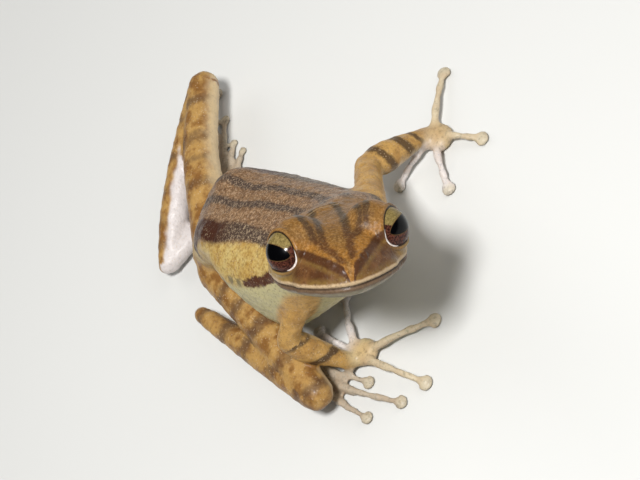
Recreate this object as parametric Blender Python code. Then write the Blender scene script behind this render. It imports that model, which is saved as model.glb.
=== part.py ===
# A four-lined tree frog at life size, sitting up on its hands and turning its head to its right.
# Lengths below are millimetres and become metres when a mesh is made. +Z is up, the floor is z = 0,
# and the back runs along -Y from the hips to the shoulders.
import math

import bmesh
import bpy
import numpy as np
from mathutils import Matrix, Vector

MM = 0.001

# The gap that touching pieces keep.
GAP = 0.3

# The floor that the frog sits on. Everything below it is cut to a small flat.
FLOOR_Z = 0.0

# Driving sizes of the animal, a grown female about 66 mm from snout to vent.
EYE_RADIUS = 3.6
HEAD_LENGTH = 22.6
TRUNK_SIDES = 28
LIMB_SIDES = 12
DIGIT_SIDES = 8

for old in list(bpy.data.objects):
    bpy.data.objects.remove(old)


# Frames and smooth rows of values


def frame(pitch, roll, yaw):
    """Columns are forward, left and up of a body that faces -Y, then leans, nods and turns, in degrees."""
    turn = Matrix.Rotation(math.radians(yaw), 3, "Z")
    nod = Matrix.Rotation(math.radians(-pitch), 3, "X")
    lean = Matrix.Rotation(math.radians(-roll), 3, "Y")
    facing = Matrix(((0.0, 1.0, 0.0), (-1.0, 0.0, 0.0), (0.0, 0.0, 1.0)))
    return np.array(turn @ nod @ lean @ facing)


def smooth_rows(rows, count):
    """Rows of values read at count even steps along a Catmull-Rom curve through them."""
    rows = np.asarray(rows, float)
    before = 2 * rows[0] - rows[1]
    after = 2 * rows[-1] - rows[-2]
    knots = np.vstack([before, rows, after])
    place = np.linspace(0, len(rows) - 1, count)
    start = np.minimum(place.astype(int), len(rows) - 2)
    t = (place - start)[:, None]
    a, b, c, d = (knots[start + k] for k in range(4))
    return b + 0.5 * t * (c - a + t * (2 * a - 5 * b + 4 * c - d + t * (3 * (b - c) + d - a)))


def unit(v):
    return v / np.linalg.norm(v)


# Meshes and the tools that part them


def mesh_object(name, points, faces, material):
    """A closed mesh of points in millimetres, as a named object."""
    mesh = bpy.data.meshes.new(name)
    mesh.from_pydata([tuple(p * MM) for p in points], [], faces)
    mesh.update()
    shape = bpy.data.objects.new(name, mesh)
    bpy.context.scene.collection.objects.link(shape)
    mesh.materials.append(material)
    tidy(shape)
    return shape


def tidy(shape):
    """Normals out, all triangles and smooth shading."""
    bm = bmesh.new()
    bm.from_mesh(shape.data)
    bmesh.ops.triangulate(bm, faces=bm.faces)
    bmesh.ops.recalc_face_normals(bm, faces=bm.faces)
    bm.to_mesh(shape.data)
    bm.free()
    shape.data.shade_smooth()
    shape.data.set_sharp_from_angle(angle=math.radians(50))


def ring_mesh(name, rings, material, closed_tip=False):
    """Rings of equal count joined side to side, with a flat cap at the start and a cap or tip at the end."""
    sides = len(rings[0])
    points = [p for ring in rings for p in ring]
    faces = []
    for k in range(len(rings) - 1):
        for i in range(sides):
            j = (i + 1) % sides
            faces.append((k * sides + i, k * sides + j, (k + 1) * sides + j, (k + 1) * sides + i))
    faces.append(tuple(range(sides - 1, -1, -1)))
    last = (len(rings) - 1) * sides
    if closed_tip:
        points.append(np.mean(rings[-1], axis=0))
        tip = len(points) - 1
        faces += [(last + i, last + (i + 1) % sides, tip) for i in range(sides)]
    else:
        faces.append(tuple(range(last, last + sides)))
    return mesh_object(name, points, faces, material)


def keep_side(shape, point, normal):
    """Cuts the shape by a plane and keeps the side that the normal points to, with the cut closed."""
    bm = bmesh.new()
    bm.from_mesh(shape.data)
    everything = list(bm.verts) + list(bm.edges) + list(bm.faces)
    bmesh.ops.bisect_plane(
        bm,
        geom=everything,
        dist=1e-8,
        plane_co=Vector(point) * MM,
        plane_no=-Vector(normal),
        clear_outer=True,
    )
    rim = [e for e in bm.edges if e.is_boundary]
    if rim:
        bmesh.ops.holes_fill(bm, edges=rim, sides=0)
    bm.to_mesh(shape.data)
    bm.free()
    tidy(shape)


def boolean(shape, operation, others):
    """Applies one Boolean of the shape with closed meshes, then removes them."""
    group = bpy.data.collections.new("operands")
    for other in others:
        group.objects.link(other)
    step = shape.modifiers.new("boolean", "BOOLEAN")
    step.operation = operation
    step.operand_type = "COLLECTION"
    step.collection = group
    step.solver = "EXACT"
    bpy.context.view_layer.update()
    graph = bpy.context.evaluated_depsgraph_get()
    result = bpy.data.meshes.new_from_object(shape.evaluated_get(graph))
    shape.modifiers.clear()
    shape.data = result
    for other in others:
        bpy.data.objects.remove(other)
    bpy.data.collections.remove(group)
    keep_largest(shape)
    tidy(shape)


def keep_largest(shape):
    """Keeps the largest closed surface, which drops scraps and fills sealed hollows."""
    bm = bmesh.new()
    bm.from_mesh(shape.data)
    bmesh.ops.remove_doubles(bm, verts=bm.verts, dist=1e-7)
    left = set(bm.faces)
    groups = []
    while left:
        seed = left.pop()
        found = {seed}
        front = [seed]
        while front:
            face = front.pop()
            for edge in face.edges:
                for near in edge.link_faces:
                    if near in left:
                        left.discard(near)
                        found.add(near)
                        front.append(near)
        groups.append(found)
    best = max(groups, key=lambda g: sum(f.calc_area() for f in g))
    bmesh.ops.delete(bm, geom=[f for f in bm.faces if f not in best], context="FACES")
    bm.to_mesh(shape.data)
    bm.free()


def rest_on_floor(shape):
    keep_side(shape, (0, 0, FLOOR_Z), (0, 0, 1))


# Finishes


def finish(name, colour, roughness):
    material = bpy.data.materials.new(name)
    material.use_nodes = True
    shader = material.node_tree.nodes["Principled BSDF"]
    shader.inputs["Base Color"].default_value = (*colour, 1.0)
    shader.inputs["Roughness"].default_value = roughness
    shader.inputs["Metallic"].default_value = 0.0
    material.diffuse_color = (*colour, 1.0)
    return material


BACK_SKIN = finish("back_skin", (0.30, 0.17, 0.07), 0.45)
LIMB_SKIN = finish("limb_skin", (0.48, 0.28, 0.11), 0.45)
PALE_SKIN = finish("pale_skin", (0.62, 0.55, 0.42), 0.5)
EYEBALL = finish("eyeball", (0.10, 0.04, 0.02), 0.08)


# Cross-sections of the trunk and head


def section(half_width, top, edge, bottom, square_top, square_bottom, sides=TRUNK_SIDES):
    """(left, up) points of a section: one superellipse above its widest line and another below it."""
    around = (np.arange(sides) + 0.5) / sides * 2 * math.pi
    s, c = np.sin(around), np.cos(around)
    upper = c >= 0
    power = np.where(upper, 2 / square_top, 2 / square_bottom)
    left = half_width * np.sign(s) * np.abs(s) ** power
    rise = np.where(upper, top - edge, edge - bottom)
    up = edge + rise * np.sign(c) * np.abs(c) ** power
    return np.stack([left, up], axis=1)


def placed(points, centre, axes):
    """(left, up) points set in the plane of a frame whose columns are forward, left and up."""
    return centre + points[:, :1] * axes[:, 1] + points[:, 1:] * axes[:, 2]


# The head turns right of the chest, is raised, and tips to its left, as it does to face the camera.
HEAD_AT = np.array([7.2, -37.0, 26.8])
HEAD_AXES = frame(33.5, -38.5, -23.5)
NECK_AT = np.array([7.0, -36.6, 23.8])
NECK_AXES = frame(22.0, -27.0, -16.0)

# Stations of the trunk, from vent to neck: centre, (pitch, roll, yaw), half width, top, widest height,
# bottom, and how square the section is above and below.
TRUNK = [
    ((2.2, 6.4, 4.4), (48, -8, 24), 2.2, 2.2, 0.0, -2.4, 2.0, 2.0),
    ((3.7, 2.8, 6.2), (50, -9, 24), 4.4, 4.6, -0.4, -4.4, 2.2, 2.0),
    ((6.4, -2.8, 9.4), (50, -11, 24), 6.8, 7.2, 0.6, -6.6, 2.8, 2.0),
    ((8.2, -9.0, 12.4), (38, -14, 21), 9.2, 9.2, 1.0, -8.6, 3.2, 2.4),
    ((6.8, -15.2, 14.0), (26, -17, 10), 11.4, 9.3, 0.2, -10.2, 2.6, 3.1),
    ((6.2, -22.6, 15.7), (17, -19, 1), 11.8, 8.9, -0.4, -10.4, 2.4, 3.1),
    ((6.3, -29.4, 18.0), (14, -21, -6), 11.1, 8.0, -0.4, -8.9, 2.4, 2.6),
    ((6.6, -33.6, 20.7), (17, -23, -11), 10.4, 7.4, -0.6, -8.2, 2.3, 2.2),
    (tuple(NECK_AT), (22, -27, -16), 9.8, 7.0, -1.6, -7.4, 2.3, 2.0),
]

# Stations of the head along its own forward axis: place, half width, crown, lip, throat, squareness.
HEAD = [
    (3.2, 9.8, 5.3, -2.6, -6.4, 2.35, 1.9),
    (6.4, 10.1, 5.2, -2.6, -6.2, 2.35, 1.85),
    (9.6, 10.0, 5.0, -2.5, -5.8, 2.3, 1.8),
    (12.8, 9.4, 4.6, -2.4, -5.4, 2.2, 1.8),
    (15.8, 8.2, 3.8, -2.25, -4.9, 2.1, 1.8),
    (18.4, 6.4, 2.8, -2.1, -4.4, 2.0, 1.9),
    (20.6, 4.3, 1.7, -2.0, -3.8, 2.0, 2.0),
    (22.0, 2.2, 0.5, -1.8, -3.1, 2.0, 2.0),
]
SNOUT_UP = -1.1
SNOUT_SHARE = 0.35

# Rings between one station and the next.
RINGS_PER_STATION = 3


def trunk_rings(grow=0.0):
    """Rings of the trunk, each swelled by grow."""
    rows = []
    for centre, turn, *sizes in TRUNK:
        rows.append(list(centre) + list(frame(*turn).ravel()) + sizes)
    rows = smooth_rows(rows, RINGS_PER_STATION * (len(rows) - 1) + 1)
    rings = []
    for row in rows:
        centre = row[:3]
        axes = row[3:12].reshape(3, 3)
        width, top, edge, bottom, sq_top, sq_bottom = row[12:]
        points = section(width + grow, top + grow, edge, bottom - grow, sq_top, sq_bottom)
        rings.append(placed(points, centre, axes))
    return rings


def head_rings():
    """Rings from just behind the neck's parting plane to the snout."""
    rings = [placed(section(*TRUNK[-1][2:]), NECK_AT, NECK_AXES)]
    for place, *sizes in smooth_rows(HEAD, RINGS_PER_STATION * (len(HEAD) - 1) + 1):
        centre = HEAD_AT + place * HEAD_AXES[:, 0]
        rings.append(placed(section(*sizes), centre, HEAD_AXES))
    snout = in_head(HEAD_LENGTH, 0, SNOUT_UP)
    rings.append(snout + SNOUT_SHARE * (rings[-1] - np.mean(rings[-1], axis=0)))
    return rings


def in_head(forward, left, up):
    """A point of the head's own frame in the model's."""
    return HEAD_AT + HEAD_AXES @ np.array([forward, left, up], float)


def ball(name, centre, radii, axes, material, rings=12, sides=18):
    """An ellipsoid with its poles along the frame's first axis."""
    turns = np.arange(sides) / sides * 2 * math.pi
    circles = []
    for polar in np.linspace(0, math.pi, rings + 1)[1:-1]:
        local = np.stack(
            [
                np.full(sides, radii[0] * math.cos(polar)),
                radii[1] * math.sin(polar) * np.cos(turns),
                radii[2] * math.sin(polar) * np.sin(turns),
            ]
        )
        circles.append(centre + (axes @ local).T)
    points = [p for circle in circles for p in circle]
    points += [centre + radii[0] * axes[:, 0], centre - radii[0] * axes[:, 0]]
    near, far = len(points) - 2, len(points) - 1
    faces = [(i, (i + 1) % sides, near) for i in range(sides)]
    for k in range(len(circles) - 1):
        for i in range(sides):
            j = (i + 1) % sides
            faces.append((k * sides + i, (k + 1) * sides + i, (k + 1) * sides + j, k * sides + j))
    last = (len(circles) - 1) * sides
    faces += [(last + i, far, last + (i + 1) % sides) for i in range(sides)]
    return mesh_object(name, points, faces, material)


def tube(name, path, sizes, material, sides=LIMB_SIDES, rings=14, up=(0, 0, 1)):
    """A tapered tube through path's points. sizes holds rows of (half width, half height) along it.
    Each end is rounded off by three rings that shrink as a half ball does."""
    line = smooth_rows(path, rings)
    radii = smooth_rows(sizes, rings)
    ahead = np.gradient(line, axis=0)
    ahead /= np.linalg.norm(ahead, axis=1)[:, None]
    turns = np.arange(sides) / sides * 2 * math.pi
    steps = [math.radians(a) for a in (15, 42, 68)]
    order = [(0, -math.cos(a), math.sin(a)) for a in steps]
    order += [(k, 0.0, 1.0) for k in range(rings)]
    order += [(rings - 1, math.cos(a), math.sin(a)) for a in reversed(steps)]
    circles = []
    for k, reach, share in order:
        side = unit(np.cross(ahead[k], up))
        rise = np.cross(side, ahead[k])
        wide, high = radii[k]
        centre = line[k] + ahead[k] * reach * min(wide, high)
        circle = centre + share * (
            wide * np.cos(turns)[:, None] * side + high * np.sin(turns)[:, None] * rise
        )
        circles.append(circle)
    return ring_mesh(name, circles, material)


# Trunk: torso, upper head, lower jaw and eyes


def torso():
    shape = ring_mesh("torso", trunk_rings(), BACK_SKIN)
    keep_side(shape, NECK_AT - NECK_AXES[:, 0] * GAP, -NECK_AXES[:, 0])
    rest_on_floor(shape)
    return shape


def grown_torso():
    """The torso swelled by the gap, which cuts a face on each limb that meets it."""
    return ring_mesh("grown_torso", trunk_rings(grow=GAP), BACK_SKIN)


# Where an eye sits in the head, and the way that it looks: forward, left and up.
EYE_AT = (12.0, 6.9, 2.1)
EYE_LOOKS = (0.46, 0.88, 0.08)
LID_AT = (11.2, 5.4, 2.5)
LID_RADII = (4.5, 4.5, 4.3)

# The mouth's line, as a plane of the head's own frame that rises to the front.
MOUTH_AT = (7.0, 0.0, -2.65)
MOUTH_RISE = 0.045

NOSTRIL_AT = (20.0, 2.1, 1.1)
NOSTRIL_RADIUS = 0.55
EARDRUM_AT = (5.6, 9.6, -0.2)
EARDRUM_RADII = (2.3, 0.9, 2.3)

# The fold of skin that runs from behind the eye, over the eardrum, to the shoulder.
FOLD = [(9.4, 8.2, 2.6), (6.6, 8.4, 2.8), (4.0, 9.0, 1.7), (2.4, 9.8, -0.6)]
FOLD_RADIUS = 0.75


def mirrored(point, side):
    """The point on the frog's left for side 1, and on its right for side -1."""
    return (point[0], side * point[1], point[2])


def eye_axes(side):
    looks = unit(HEAD_AXES @ np.array(mirrored(EYE_LOOKS, side)))
    across = unit(np.cross(looks, HEAD_AXES[:, 2]))
    return np.stack([looks, across, np.cross(looks, across)], axis=1)


def head_and_jaw():
    head = ring_mesh("head", head_rings(), BACK_SKIN, closed_tip=True)
    joined = []
    for side in (1, -1):
        joined.append(
            ball("lid", in_head(*mirrored(LID_AT, side)), LID_RADII, HEAD_AXES, BACK_SKIN)
        )
        joined.append(
            ball("drum", in_head(*mirrored(EARDRUM_AT, side)), EARDRUM_RADII, HEAD_AXES, BACK_SKIN, 8, 12)
        )
        fold = [in_head(*mirrored(p, side)) for p in FOLD]
        joined.append(
            tube("fold", fold, [(FOLD_RADIUS, FOLD_RADIUS)] * 2, BACK_SKIN, 6, 7, HEAD_AXES[:, 2])
        )
    boolean(head, "UNION", joined)
    pits = []
    socket_radii = (EYE_RADIUS + GAP,) * 3
    nostril_radii = (NOSTRIL_RADIUS,) * 3
    for side in (1, -1):
        eye = in_head(*mirrored(EYE_AT, side))
        nostril = in_head(*mirrored(NOSTRIL_AT, side))
        pits.append(ball("socket", eye, socket_radii, eye_axes(side), BACK_SKIN, 12, 20))
        pits.append(ball("pit", nostril, nostril_radii, HEAD_AXES, BACK_SKIN, 5, 7))
    boolean(head, "DIFFERENCE", pits)
    keep_side(head, NECK_AT, NECK_AXES[:, 0])
    jaw = head.copy()
    jaw.data = head.data.copy()
    jaw.name = "jaw"
    bpy.context.scene.collection.objects.link(jaw)
    mouth_up = unit(HEAD_AXES @ np.array([-MOUTH_RISE, 0.0, 1.0]))
    mouth = in_head(*MOUTH_AT)
    keep_side(head, mouth + mouth_up * GAP / 2, mouth_up)
    keep_side(jaw, mouth - mouth_up * GAP / 2, -mouth_up)
    for name, side in (("eye_left", 1), ("eye_right", -1)):
        ball(name, in_head(*mirrored(EYE_AT, side)), (EYE_RADIUS,) * 3, eye_axes(side), EYEBALL, 12, 20)


# Joints of the limbs. The right arm props the chest, the left one reaches out to the side,
# and both hind legs are folded, with the foot under the shin.
SHOULDER = {"left": (15.6, -34.6, 17.6), "right": (0.2, -31.6, 21.4)}
ELBOW = {"left": (23.6, -24.7, 10.2), "right": (-8.6, -25.8, 13.4)}
WRIST = {"left": (33.7, -26.9, 2.0), "right": (-7.1, -30.3, 2.0)}
HIP = {"left": (6.0, 4.5, 6.8), "right": (0.8, -0.4, 7.6)}
KNEE = {"left": (33.1, 22.2, 7.3), "right": (-14.2, -29.3, 5.6)}
HEEL = {"left": (-0.5, 16.6, 2.9), "right": (-7.3, 3.0, 3.8)}
ANKLE = {"left": (14.9, 11.4, 1.7), "right": (-9.4, -15.0, 1.7)}

# Half width and half height of each limb piece at even steps from its root to its end.
UPPER_ARM = [(2.5, 2.5), (2.1, 2.1), (1.9, 1.9)]
FOREARM = [(1.9, 1.9), (2.3, 2.2), (1.9, 1.8), (1.5, 1.35)]
THIGH = [(3.6, 3.4), (3.5, 3.3), (3.3, 3.0), (2.95, 2.75)]
SHIN = [(2.95, 2.75), (2.6, 2.5), (2.1, 2.0), (1.6, 1.6)]
TARSUS = [(1.7, 1.6), (1.5, 1.3), (1.5, 1.25), (1.7, 1.3)]

# How far the middle of each upper and lower leg bows off the straight line.
THIGH_BOW = {"left": (-0.4, 1.3, 0.7), "right": (0.0, 0.0, 0.0)}
SHIN_BOW = {"left": (-0.3, 1.8, 0.5), "right": (0.0, 0.0, 0.0)}

# The palm is a flat pad, and each finger runs from its middle to a round disc at the tip.
PALM_AT = {"left": (33.8, -29.2, 1.1), "right": (-4.8, -31.6, 1.1)}
PALM_RADII = (3.0, 3.0, 1.5)
FINGER_TIPS = {
    "left": [(24.0, -24.6), (25.4, -34.8), (35.3, -37.4), (45.8, -24.2)],
    "right": [(-3.7, -20.4), (3.4, -22.8), (3.8, -42.2), (-6.5, -45.2)],
}
DIGIT_ARCH = 0.35
TIP_HEIGHT = 0.55
TIP_REACH = 0.6
FINGER_HALF_WIDTH = 0.6
FINGER_ROOT = 1.9
FINGER_DISC = 1.3

# Toes one to five in the foot's own plane: how far ahead of the ankle and how far out from the foot's
# line their points lie, and how wide their discs are. The left foot is folded in a little shorter.
TOES = [
    ([(9.8, -4.2)], 0.85),
    ([(12.6, -2.1)], 0.9),
    ([(19.4, -0.2)], 1.1),
    ([(18.0, 1.9), (27.0, 1.2)], 1.15),
    ([(21.8, 5.4)], 1.1),
]
TOE_HALF_WIDTH = 0.55
TOE_ROOT = 1.2
TOE_ROOT_AHEAD = 2.0
TOE_ROOT_HEIGHT = 0.8
TOE_AHEAD = {"left": (0.84, 0.54, 0.0), "right": (0.0, -1.0, 0.0)}
TOE_SCALE = {"left": 0.88, "right": 1.0}
TOE_START = 7.0
# The sole: how far ahead of the ankle each of its points lies, how far below it, and its sizes there.
SOLE_AHEAD = (-1.0, 3.0, 8.0)
SOLE_BELOW = (0.0, 0.5, 1.05)
SOLE_SIZES = [(1.7, 1.3), (2.6, 1.1), (3.5, 0.55)]
TOE_ROOT_SPACING = 1.15
OUTER = {"left": 1, "right": -1}


def parting(joint, first, second):
    """The plane through a joint that halves the angle of its two pieces, its normal towards the first."""
    joint = np.array(joint)
    to_first = unit(np.array(first) - joint)
    to_second = unit(np.array(second) - joint)
    return joint, unit(to_first - to_second)


def meet(piece, joint, mine, other):
    """Cuts a limb piece back to its own side of a joint's parting plane, less half the gap."""
    point, normal = parting(joint, mine, other)
    keep_side(piece, point + normal * GAP / 2, normal)


def bowed(start, end, bow=(0, 0, 0)):
    """A path whose middle lies off the straight line by bow."""
    start, end = np.array(start, float), np.array(end, float)
    return [start, (start + end) / 2 + np.array(bow), end]


def arm(side):
    upper = tube(f"upper_arm_{side}", bowed(SHOULDER[side], ELBOW[side]), UPPER_ARM, LIMB_SKIN, rings=8)
    meet(upper, ELBOW[side], SHOULDER[side], WRIST[side])
    boolean(upper, "DIFFERENCE", [grown_torso()])
    fore = tube(f"forearm_{side}", bowed(ELBOW[side], WRIST[side]), FOREARM, LIMB_SKIN, rings=9)
    meet(fore, ELBOW[side], WRIST[side], SHOULDER[side])
    boolean(fore, "DIFFERENCE", [palm_pad("grown_palm", side, GAP)])
    rest_on_floor(fore)


def palm_pad(name, side, grow=0.0):
    radii = [r + grow for r in PALM_RADII]
    return ball(name, np.array(PALM_AT[side]), radii, np.eye(3), PALE_SKIN, 10, 16)


def digit(name, points, disc, half_width, root):
    """A finger or toe: a root that is so many times its half width, slim joints, a low arch, and a flat
    round disc that reaches a little past the last point."""
    points = [np.array(p, float) for p in points]
    if len(points) == 2:
        points.insert(1, (points[0] + points[1]) / 2)
    points[1][2] = points[0][2] + DIGIT_ARCH
    points[-1][2] = TIP_HEIGHT
    points[-1] += unit(points[-1] - points[-2]) * TIP_REACH
    path = smooth_rows(points, 25)
    w = half_width
    widths = [w * root, w * (1 + root) / 2, w * 1.1, w * 1.15, w * 0.95, w * 0.9, disc, disc]
    heights = [0.8, 0.75, 0.66, 0.72, 0.6, 0.56, 0.6, 0.5]
    sizes = list(zip(widths, heights))
    return tube(name, path, sizes, LIMB_SKIN, DIGIT_SIDES, 12)


def hand(side):
    palm_pad(f"hand_{side}", side)
    rest_on_floor(bpy.data.objects[f"hand_{side}"])
    for k, tip in enumerate(FINGER_TIPS[side]):
        middle = np.array(PALM_AT[side])
        path = [middle, (*tip, TIP_HEIGHT)]
        finger = digit(f"finger_{side}_{k + 1}", path, FINGER_DISC, FINGER_HALF_WIDTH, FINGER_ROOT)
        boolean(finger, "DIFFERENCE", [palm_pad("grown_palm", side, GAP)])
        rest_on_floor(finger)


def leg(side):
    thigh = tube(f"thigh_{side}", bowed(HIP[side], KNEE[side], THIGH_BOW[side]), THIGH, LIMB_SKIN, rings=12)
    meet(thigh, KNEE[side], HIP[side], HEEL[side])
    boolean(thigh, "DIFFERENCE", [grown_torso()])
    shin = tube(f"shin_{side}", bowed(KNEE[side], HEEL[side], SHIN_BOW[side]), SHIN, LIMB_SKIN, rings=12)
    meet(shin, KNEE[side], HEEL[side], HIP[side])
    meet(shin, HEEL[side], KNEE[side], ANKLE[side])
    rest_on_floor(shin)
    tarsus = tube(f"tarsus_{side}", bowed(HEEL[side], ANKLE[side]), TARSUS, LIMB_SKIN, rings=9)
    meet(tarsus, HEEL[side], ANKLE[side], KNEE[side])
    meet(tarsus, ANKLE[side], HEEL[side], np.array(ANKLE[side]) + unit(np.array(TOE_AHEAD[side])))
    rest_on_floor(tarsus)


def foot(side):
    """The sole, flat and wide with the roots of the toes and their web, and each toe past one plane."""
    ankle = np.array(ANKLE[side])
    ahead = unit(np.array(TOE_AHEAD[side]))
    across = np.cross([0, 0, 1], ahead) * OUTER[side]
    scale = TOE_SCALE[side]
    plane = ankle + ahead * TOE_START
    spine = [ankle + ahead * far - [0, 0, low] for far, low in zip(SOLE_AHEAD, SOLE_BELOW)]
    sole = tube(f"foot_{side}", spine, SOLE_SIZES, PALE_SKIN, rings=8)
    joined = []
    for k, (places, disc) in enumerate(TOES):
        root = ankle + ahead * TOE_ROOT_AHEAD + across * (k - 2) * TOE_ROOT_SPACING
        root[2] = TOE_ROOT_HEIGHT
        points = [root]
        for reach, out in places:
            spot = scale * (ahead * reach + across * out)
            points.append(ankle * [1, 1, 0] + spot + [0, 0, TIP_HEIGHT])
        joined.append(digit("toe_root", points, disc, TOE_HALF_WIDTH, TOE_ROOT))
        toe = digit(f"toe_{side}_{k + 1}", points, disc, TOE_HALF_WIDTH, TOE_ROOT)
        keep_side(toe, plane + GAP * ahead, ahead)
        rest_on_floor(toe)
    boolean(sole, "UNION", joined)
    keep_side(sole, plane, -ahead)
    meet(sole, ANKLE[side], ankle + ahead, HEEL[side])
    rest_on_floor(sole)


torso()
head_and_jaw()
for limb_side in ("left", "right"):
    arm(limb_side)
    hand(limb_side)
    leg(limb_side)
    foot(limb_side)


# The origin goes to the middle of the model's footprint, on the floor.
bpy.context.view_layer.update()
corners = np.array([v.co for o in bpy.data.objects for v in o.data.vertices])
shift = Vector((*(-(corners.min(0) + corners.max(0)) / 2)[:2], -corners.min(0)[2]))
for shape in bpy.data.objects:
    shape.data.transform(Matrix.Translation(shift))
    shape.data.update()
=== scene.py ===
# %% [markdown]
# A four-lined tree frog at life size. The CAD model gives each part of the body as its own plain solid.
# This script dresses it: one seamless skin over trunk, head and limbs, wet eyes set into their lids, and
# markings that follow the body. Lengths are millimetres, in the pose's own frame, until a mesh is made.

import math
from functools import partial

import bmesh
import bpy
import numpy as np
from mathutils import Matrix, Vector


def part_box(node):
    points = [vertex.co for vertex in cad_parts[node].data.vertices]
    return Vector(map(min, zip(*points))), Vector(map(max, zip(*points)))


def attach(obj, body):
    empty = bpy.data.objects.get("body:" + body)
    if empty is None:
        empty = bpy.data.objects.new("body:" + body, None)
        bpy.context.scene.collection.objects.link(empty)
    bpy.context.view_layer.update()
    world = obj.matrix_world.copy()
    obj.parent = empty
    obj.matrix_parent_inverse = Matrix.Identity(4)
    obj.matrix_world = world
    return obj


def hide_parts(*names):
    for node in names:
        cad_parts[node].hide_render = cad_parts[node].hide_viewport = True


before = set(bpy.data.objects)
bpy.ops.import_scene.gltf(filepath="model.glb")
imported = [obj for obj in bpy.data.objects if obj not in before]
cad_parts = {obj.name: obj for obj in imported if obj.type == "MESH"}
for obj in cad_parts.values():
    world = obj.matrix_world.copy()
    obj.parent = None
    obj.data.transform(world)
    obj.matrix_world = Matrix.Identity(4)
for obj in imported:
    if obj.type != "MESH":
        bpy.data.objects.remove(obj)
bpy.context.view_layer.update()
MM = 0.001

# %% [markdown]
# Every part of the pose is written against three frames: the head's, the neck's and those of the trunk's
# sections. A frame is a turn, a nod and a lean, the way an animator poses a bone. Its columns are the
# directions ahead, to the frog's left, and up.


# %% Frames and smooth rows
def body_frame(pitch, roll, yaw):
    """Columns ahead, left and up of a body that faces -Y, then leans, nods up and turns, in degrees."""
    turn = Matrix.Rotation(math.radians(yaw), 3, "Z")
    nod = Matrix.Rotation(math.radians(-pitch), 3, "X")
    lean = Matrix.Rotation(math.radians(-roll), 3, "Y")
    facing = Matrix(((0.0, 1.0, 0.0), (-1.0, 0.0, 0.0), (0.0, 0.0, 1.0)))
    return np.array(turn @ nod @ lean @ facing)


def unit(v):
    """v over its own length, along the last axis."""
    v = np.asarray(v, float)
    return v / np.maximum(np.linalg.norm(v, axis=-1, keepdims=True), 1e-12)


def smooth_rows(rows, count):
    """Rows of values read at even steps along a Catmull-Rom curve, which passes through each given row."""
    rows = np.asarray(rows, float)
    knots = np.vstack([2 * rows[0] - rows[1], rows, 2 * rows[-1] - rows[-2]])
    place = np.linspace(0, len(rows) - 1, count)
    start = np.minimum(place.astype(int), len(rows) - 2)
    t = (place - start)[:, None]
    a, b, c, d = (knots[start + k] for k in range(4))
    return b + 0.5 * t * (c - a + t * (2 * a - 5 * b + 4 * c - d + t * (3 * (b - c) + d - a)))


def ramp(x, low, high):
    """A smooth step: 0 below low, 1 above high, and 3t^2 - 2t^3 between."""
    t = np.clip((x - low) / (high - low), 0, 1)
    return t * t * (3 - 2 * t)


def bell(x, width):
    """A bell curve of height 1: e to the minus square of x over width."""
    return np.exp(-((x / width) ** 2))


print("the left of a body that isn't turned:", body_frame(0, 0, 0)[:, 1].round(3))

# %% The head's frame
HEAD_AT = np.array([7.2, -37.0, 26.8])
HEAD_AXES = body_frame(33.5, -38.5, -23.5)
NECK_AT = (7.0, -36.6, 23.8)


def from_head(place):
    """Points of the head's frame, as (ahead, left, up), in the pose's frame."""
    return HEAD_AT + np.asarray(place, float) @ HEAD_AXES.T


def to_head(points):
    """Points of the pose's frame in the head's frame."""
    return (points - HEAD_AT) @ HEAD_AXES


EYE_RADIUS = 3.6
EYE_AT = (12.0, 6.9, 2.1)
left_eye_box = np.array(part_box("eye_left")) / MM
right_eye_box = np.array(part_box("eye_right")) / MM
eye_middle = (left_eye_box.mean(0) + right_eye_box.mean(0)) / 2
POSE_SHIFT = eye_middle - from_head((EYE_AT[0], 0.0, EYE_AT[2]))
print("the pose's frame sits in the model's by", POSE_SHIFT.round(2))

# %% [markdown]
# The camera stands where it puts each joint of the frog on its place in the photograph. There the frog
# isn't on level ground, and here it sits on a floor, so the camera is rolled over onto its side. Turning it
# by hand until the picture fits would take many trials, so its place and directions are given as numbers.

# %% Camera
PHOTO_WIDTH = 640
FOCAL_PIXELS = 1700
SENSOR = 36.0
CAMERA_AT = np.array([-36.2, -203.4, 218.8])
CAMERA_RIGHT = unit((0.3792, -0.7367, -0.56))
CAMERA_AHEAD = unit((0.1632, 0.6489, -0.7432))
# Nothing nearer to the camera than this many metres is drawn.
NEAREST_SEEN = 0.01


def at(point):
    """A point of the pose's frame in metres of the model's frame."""
    return Vector((np.asarray(point) + POSE_SHIFT) * MM)


def add_object(name, data):
    """A new object with that mesh, light or camera, in the scene."""
    new = bpy.data.objects.new(name, data)
    bpy.context.scene.collection.objects.link(new)
    return new


camera = add_object("camera", bpy.data.cameras.new("camera"))
camera.data.sensor_width = SENSOR
camera.data.lens = SENSOR * FOCAL_PIXELS / PHOTO_WIDTH
camera.data.clip_start = NEAREST_SEEN
camera_up = np.cross(CAMERA_RIGHT, CAMERA_AHEAD)
turned = Matrix(np.stack([CAMERA_RIGHT, camera_up, -CAMERA_AHEAD], axis=1).tolist())
camera.matrix_world = Matrix.Translation(at(CAMERA_AT)) @ turned.to_4x4()
bpy.context.scene.camera = camera
print("the camera's lens is", round(camera.data.lens, 2), "mm long")

# %% [markdown]
# A plain floor and soft light let the frog's own colours speak, as in a museum's photograph. One small
# bright light gives the single spark of a wet eye, and two large ones fill the shadows.

# %% Lights
LIGHT_AIM = (6.0, -22.0, 16.0)
WARM_WHITE = (1.0, 0.98, 0.95, 1.0)
SKY_STRENGTH = 0.17


def soft_light(name, place, size, power, mirrored_in_gloss=False):
    """A square area light of that size in metres at place, turned to the frog. Only the key light shows as
    a highlight, as a single flash does in a wet eye."""
    lamp = bpy.data.lights.new(name, "AREA")
    lamp.size = size
    lamp.energy = power
    holder = add_object(name, lamp)
    holder.location = at(place)
    holder.visible_glossy = mirrored_in_gloss
    holder.rotation_euler = (at(LIGHT_AIM) - at(place)).to_track_quat("-Z", "Y").to_euler()


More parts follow.
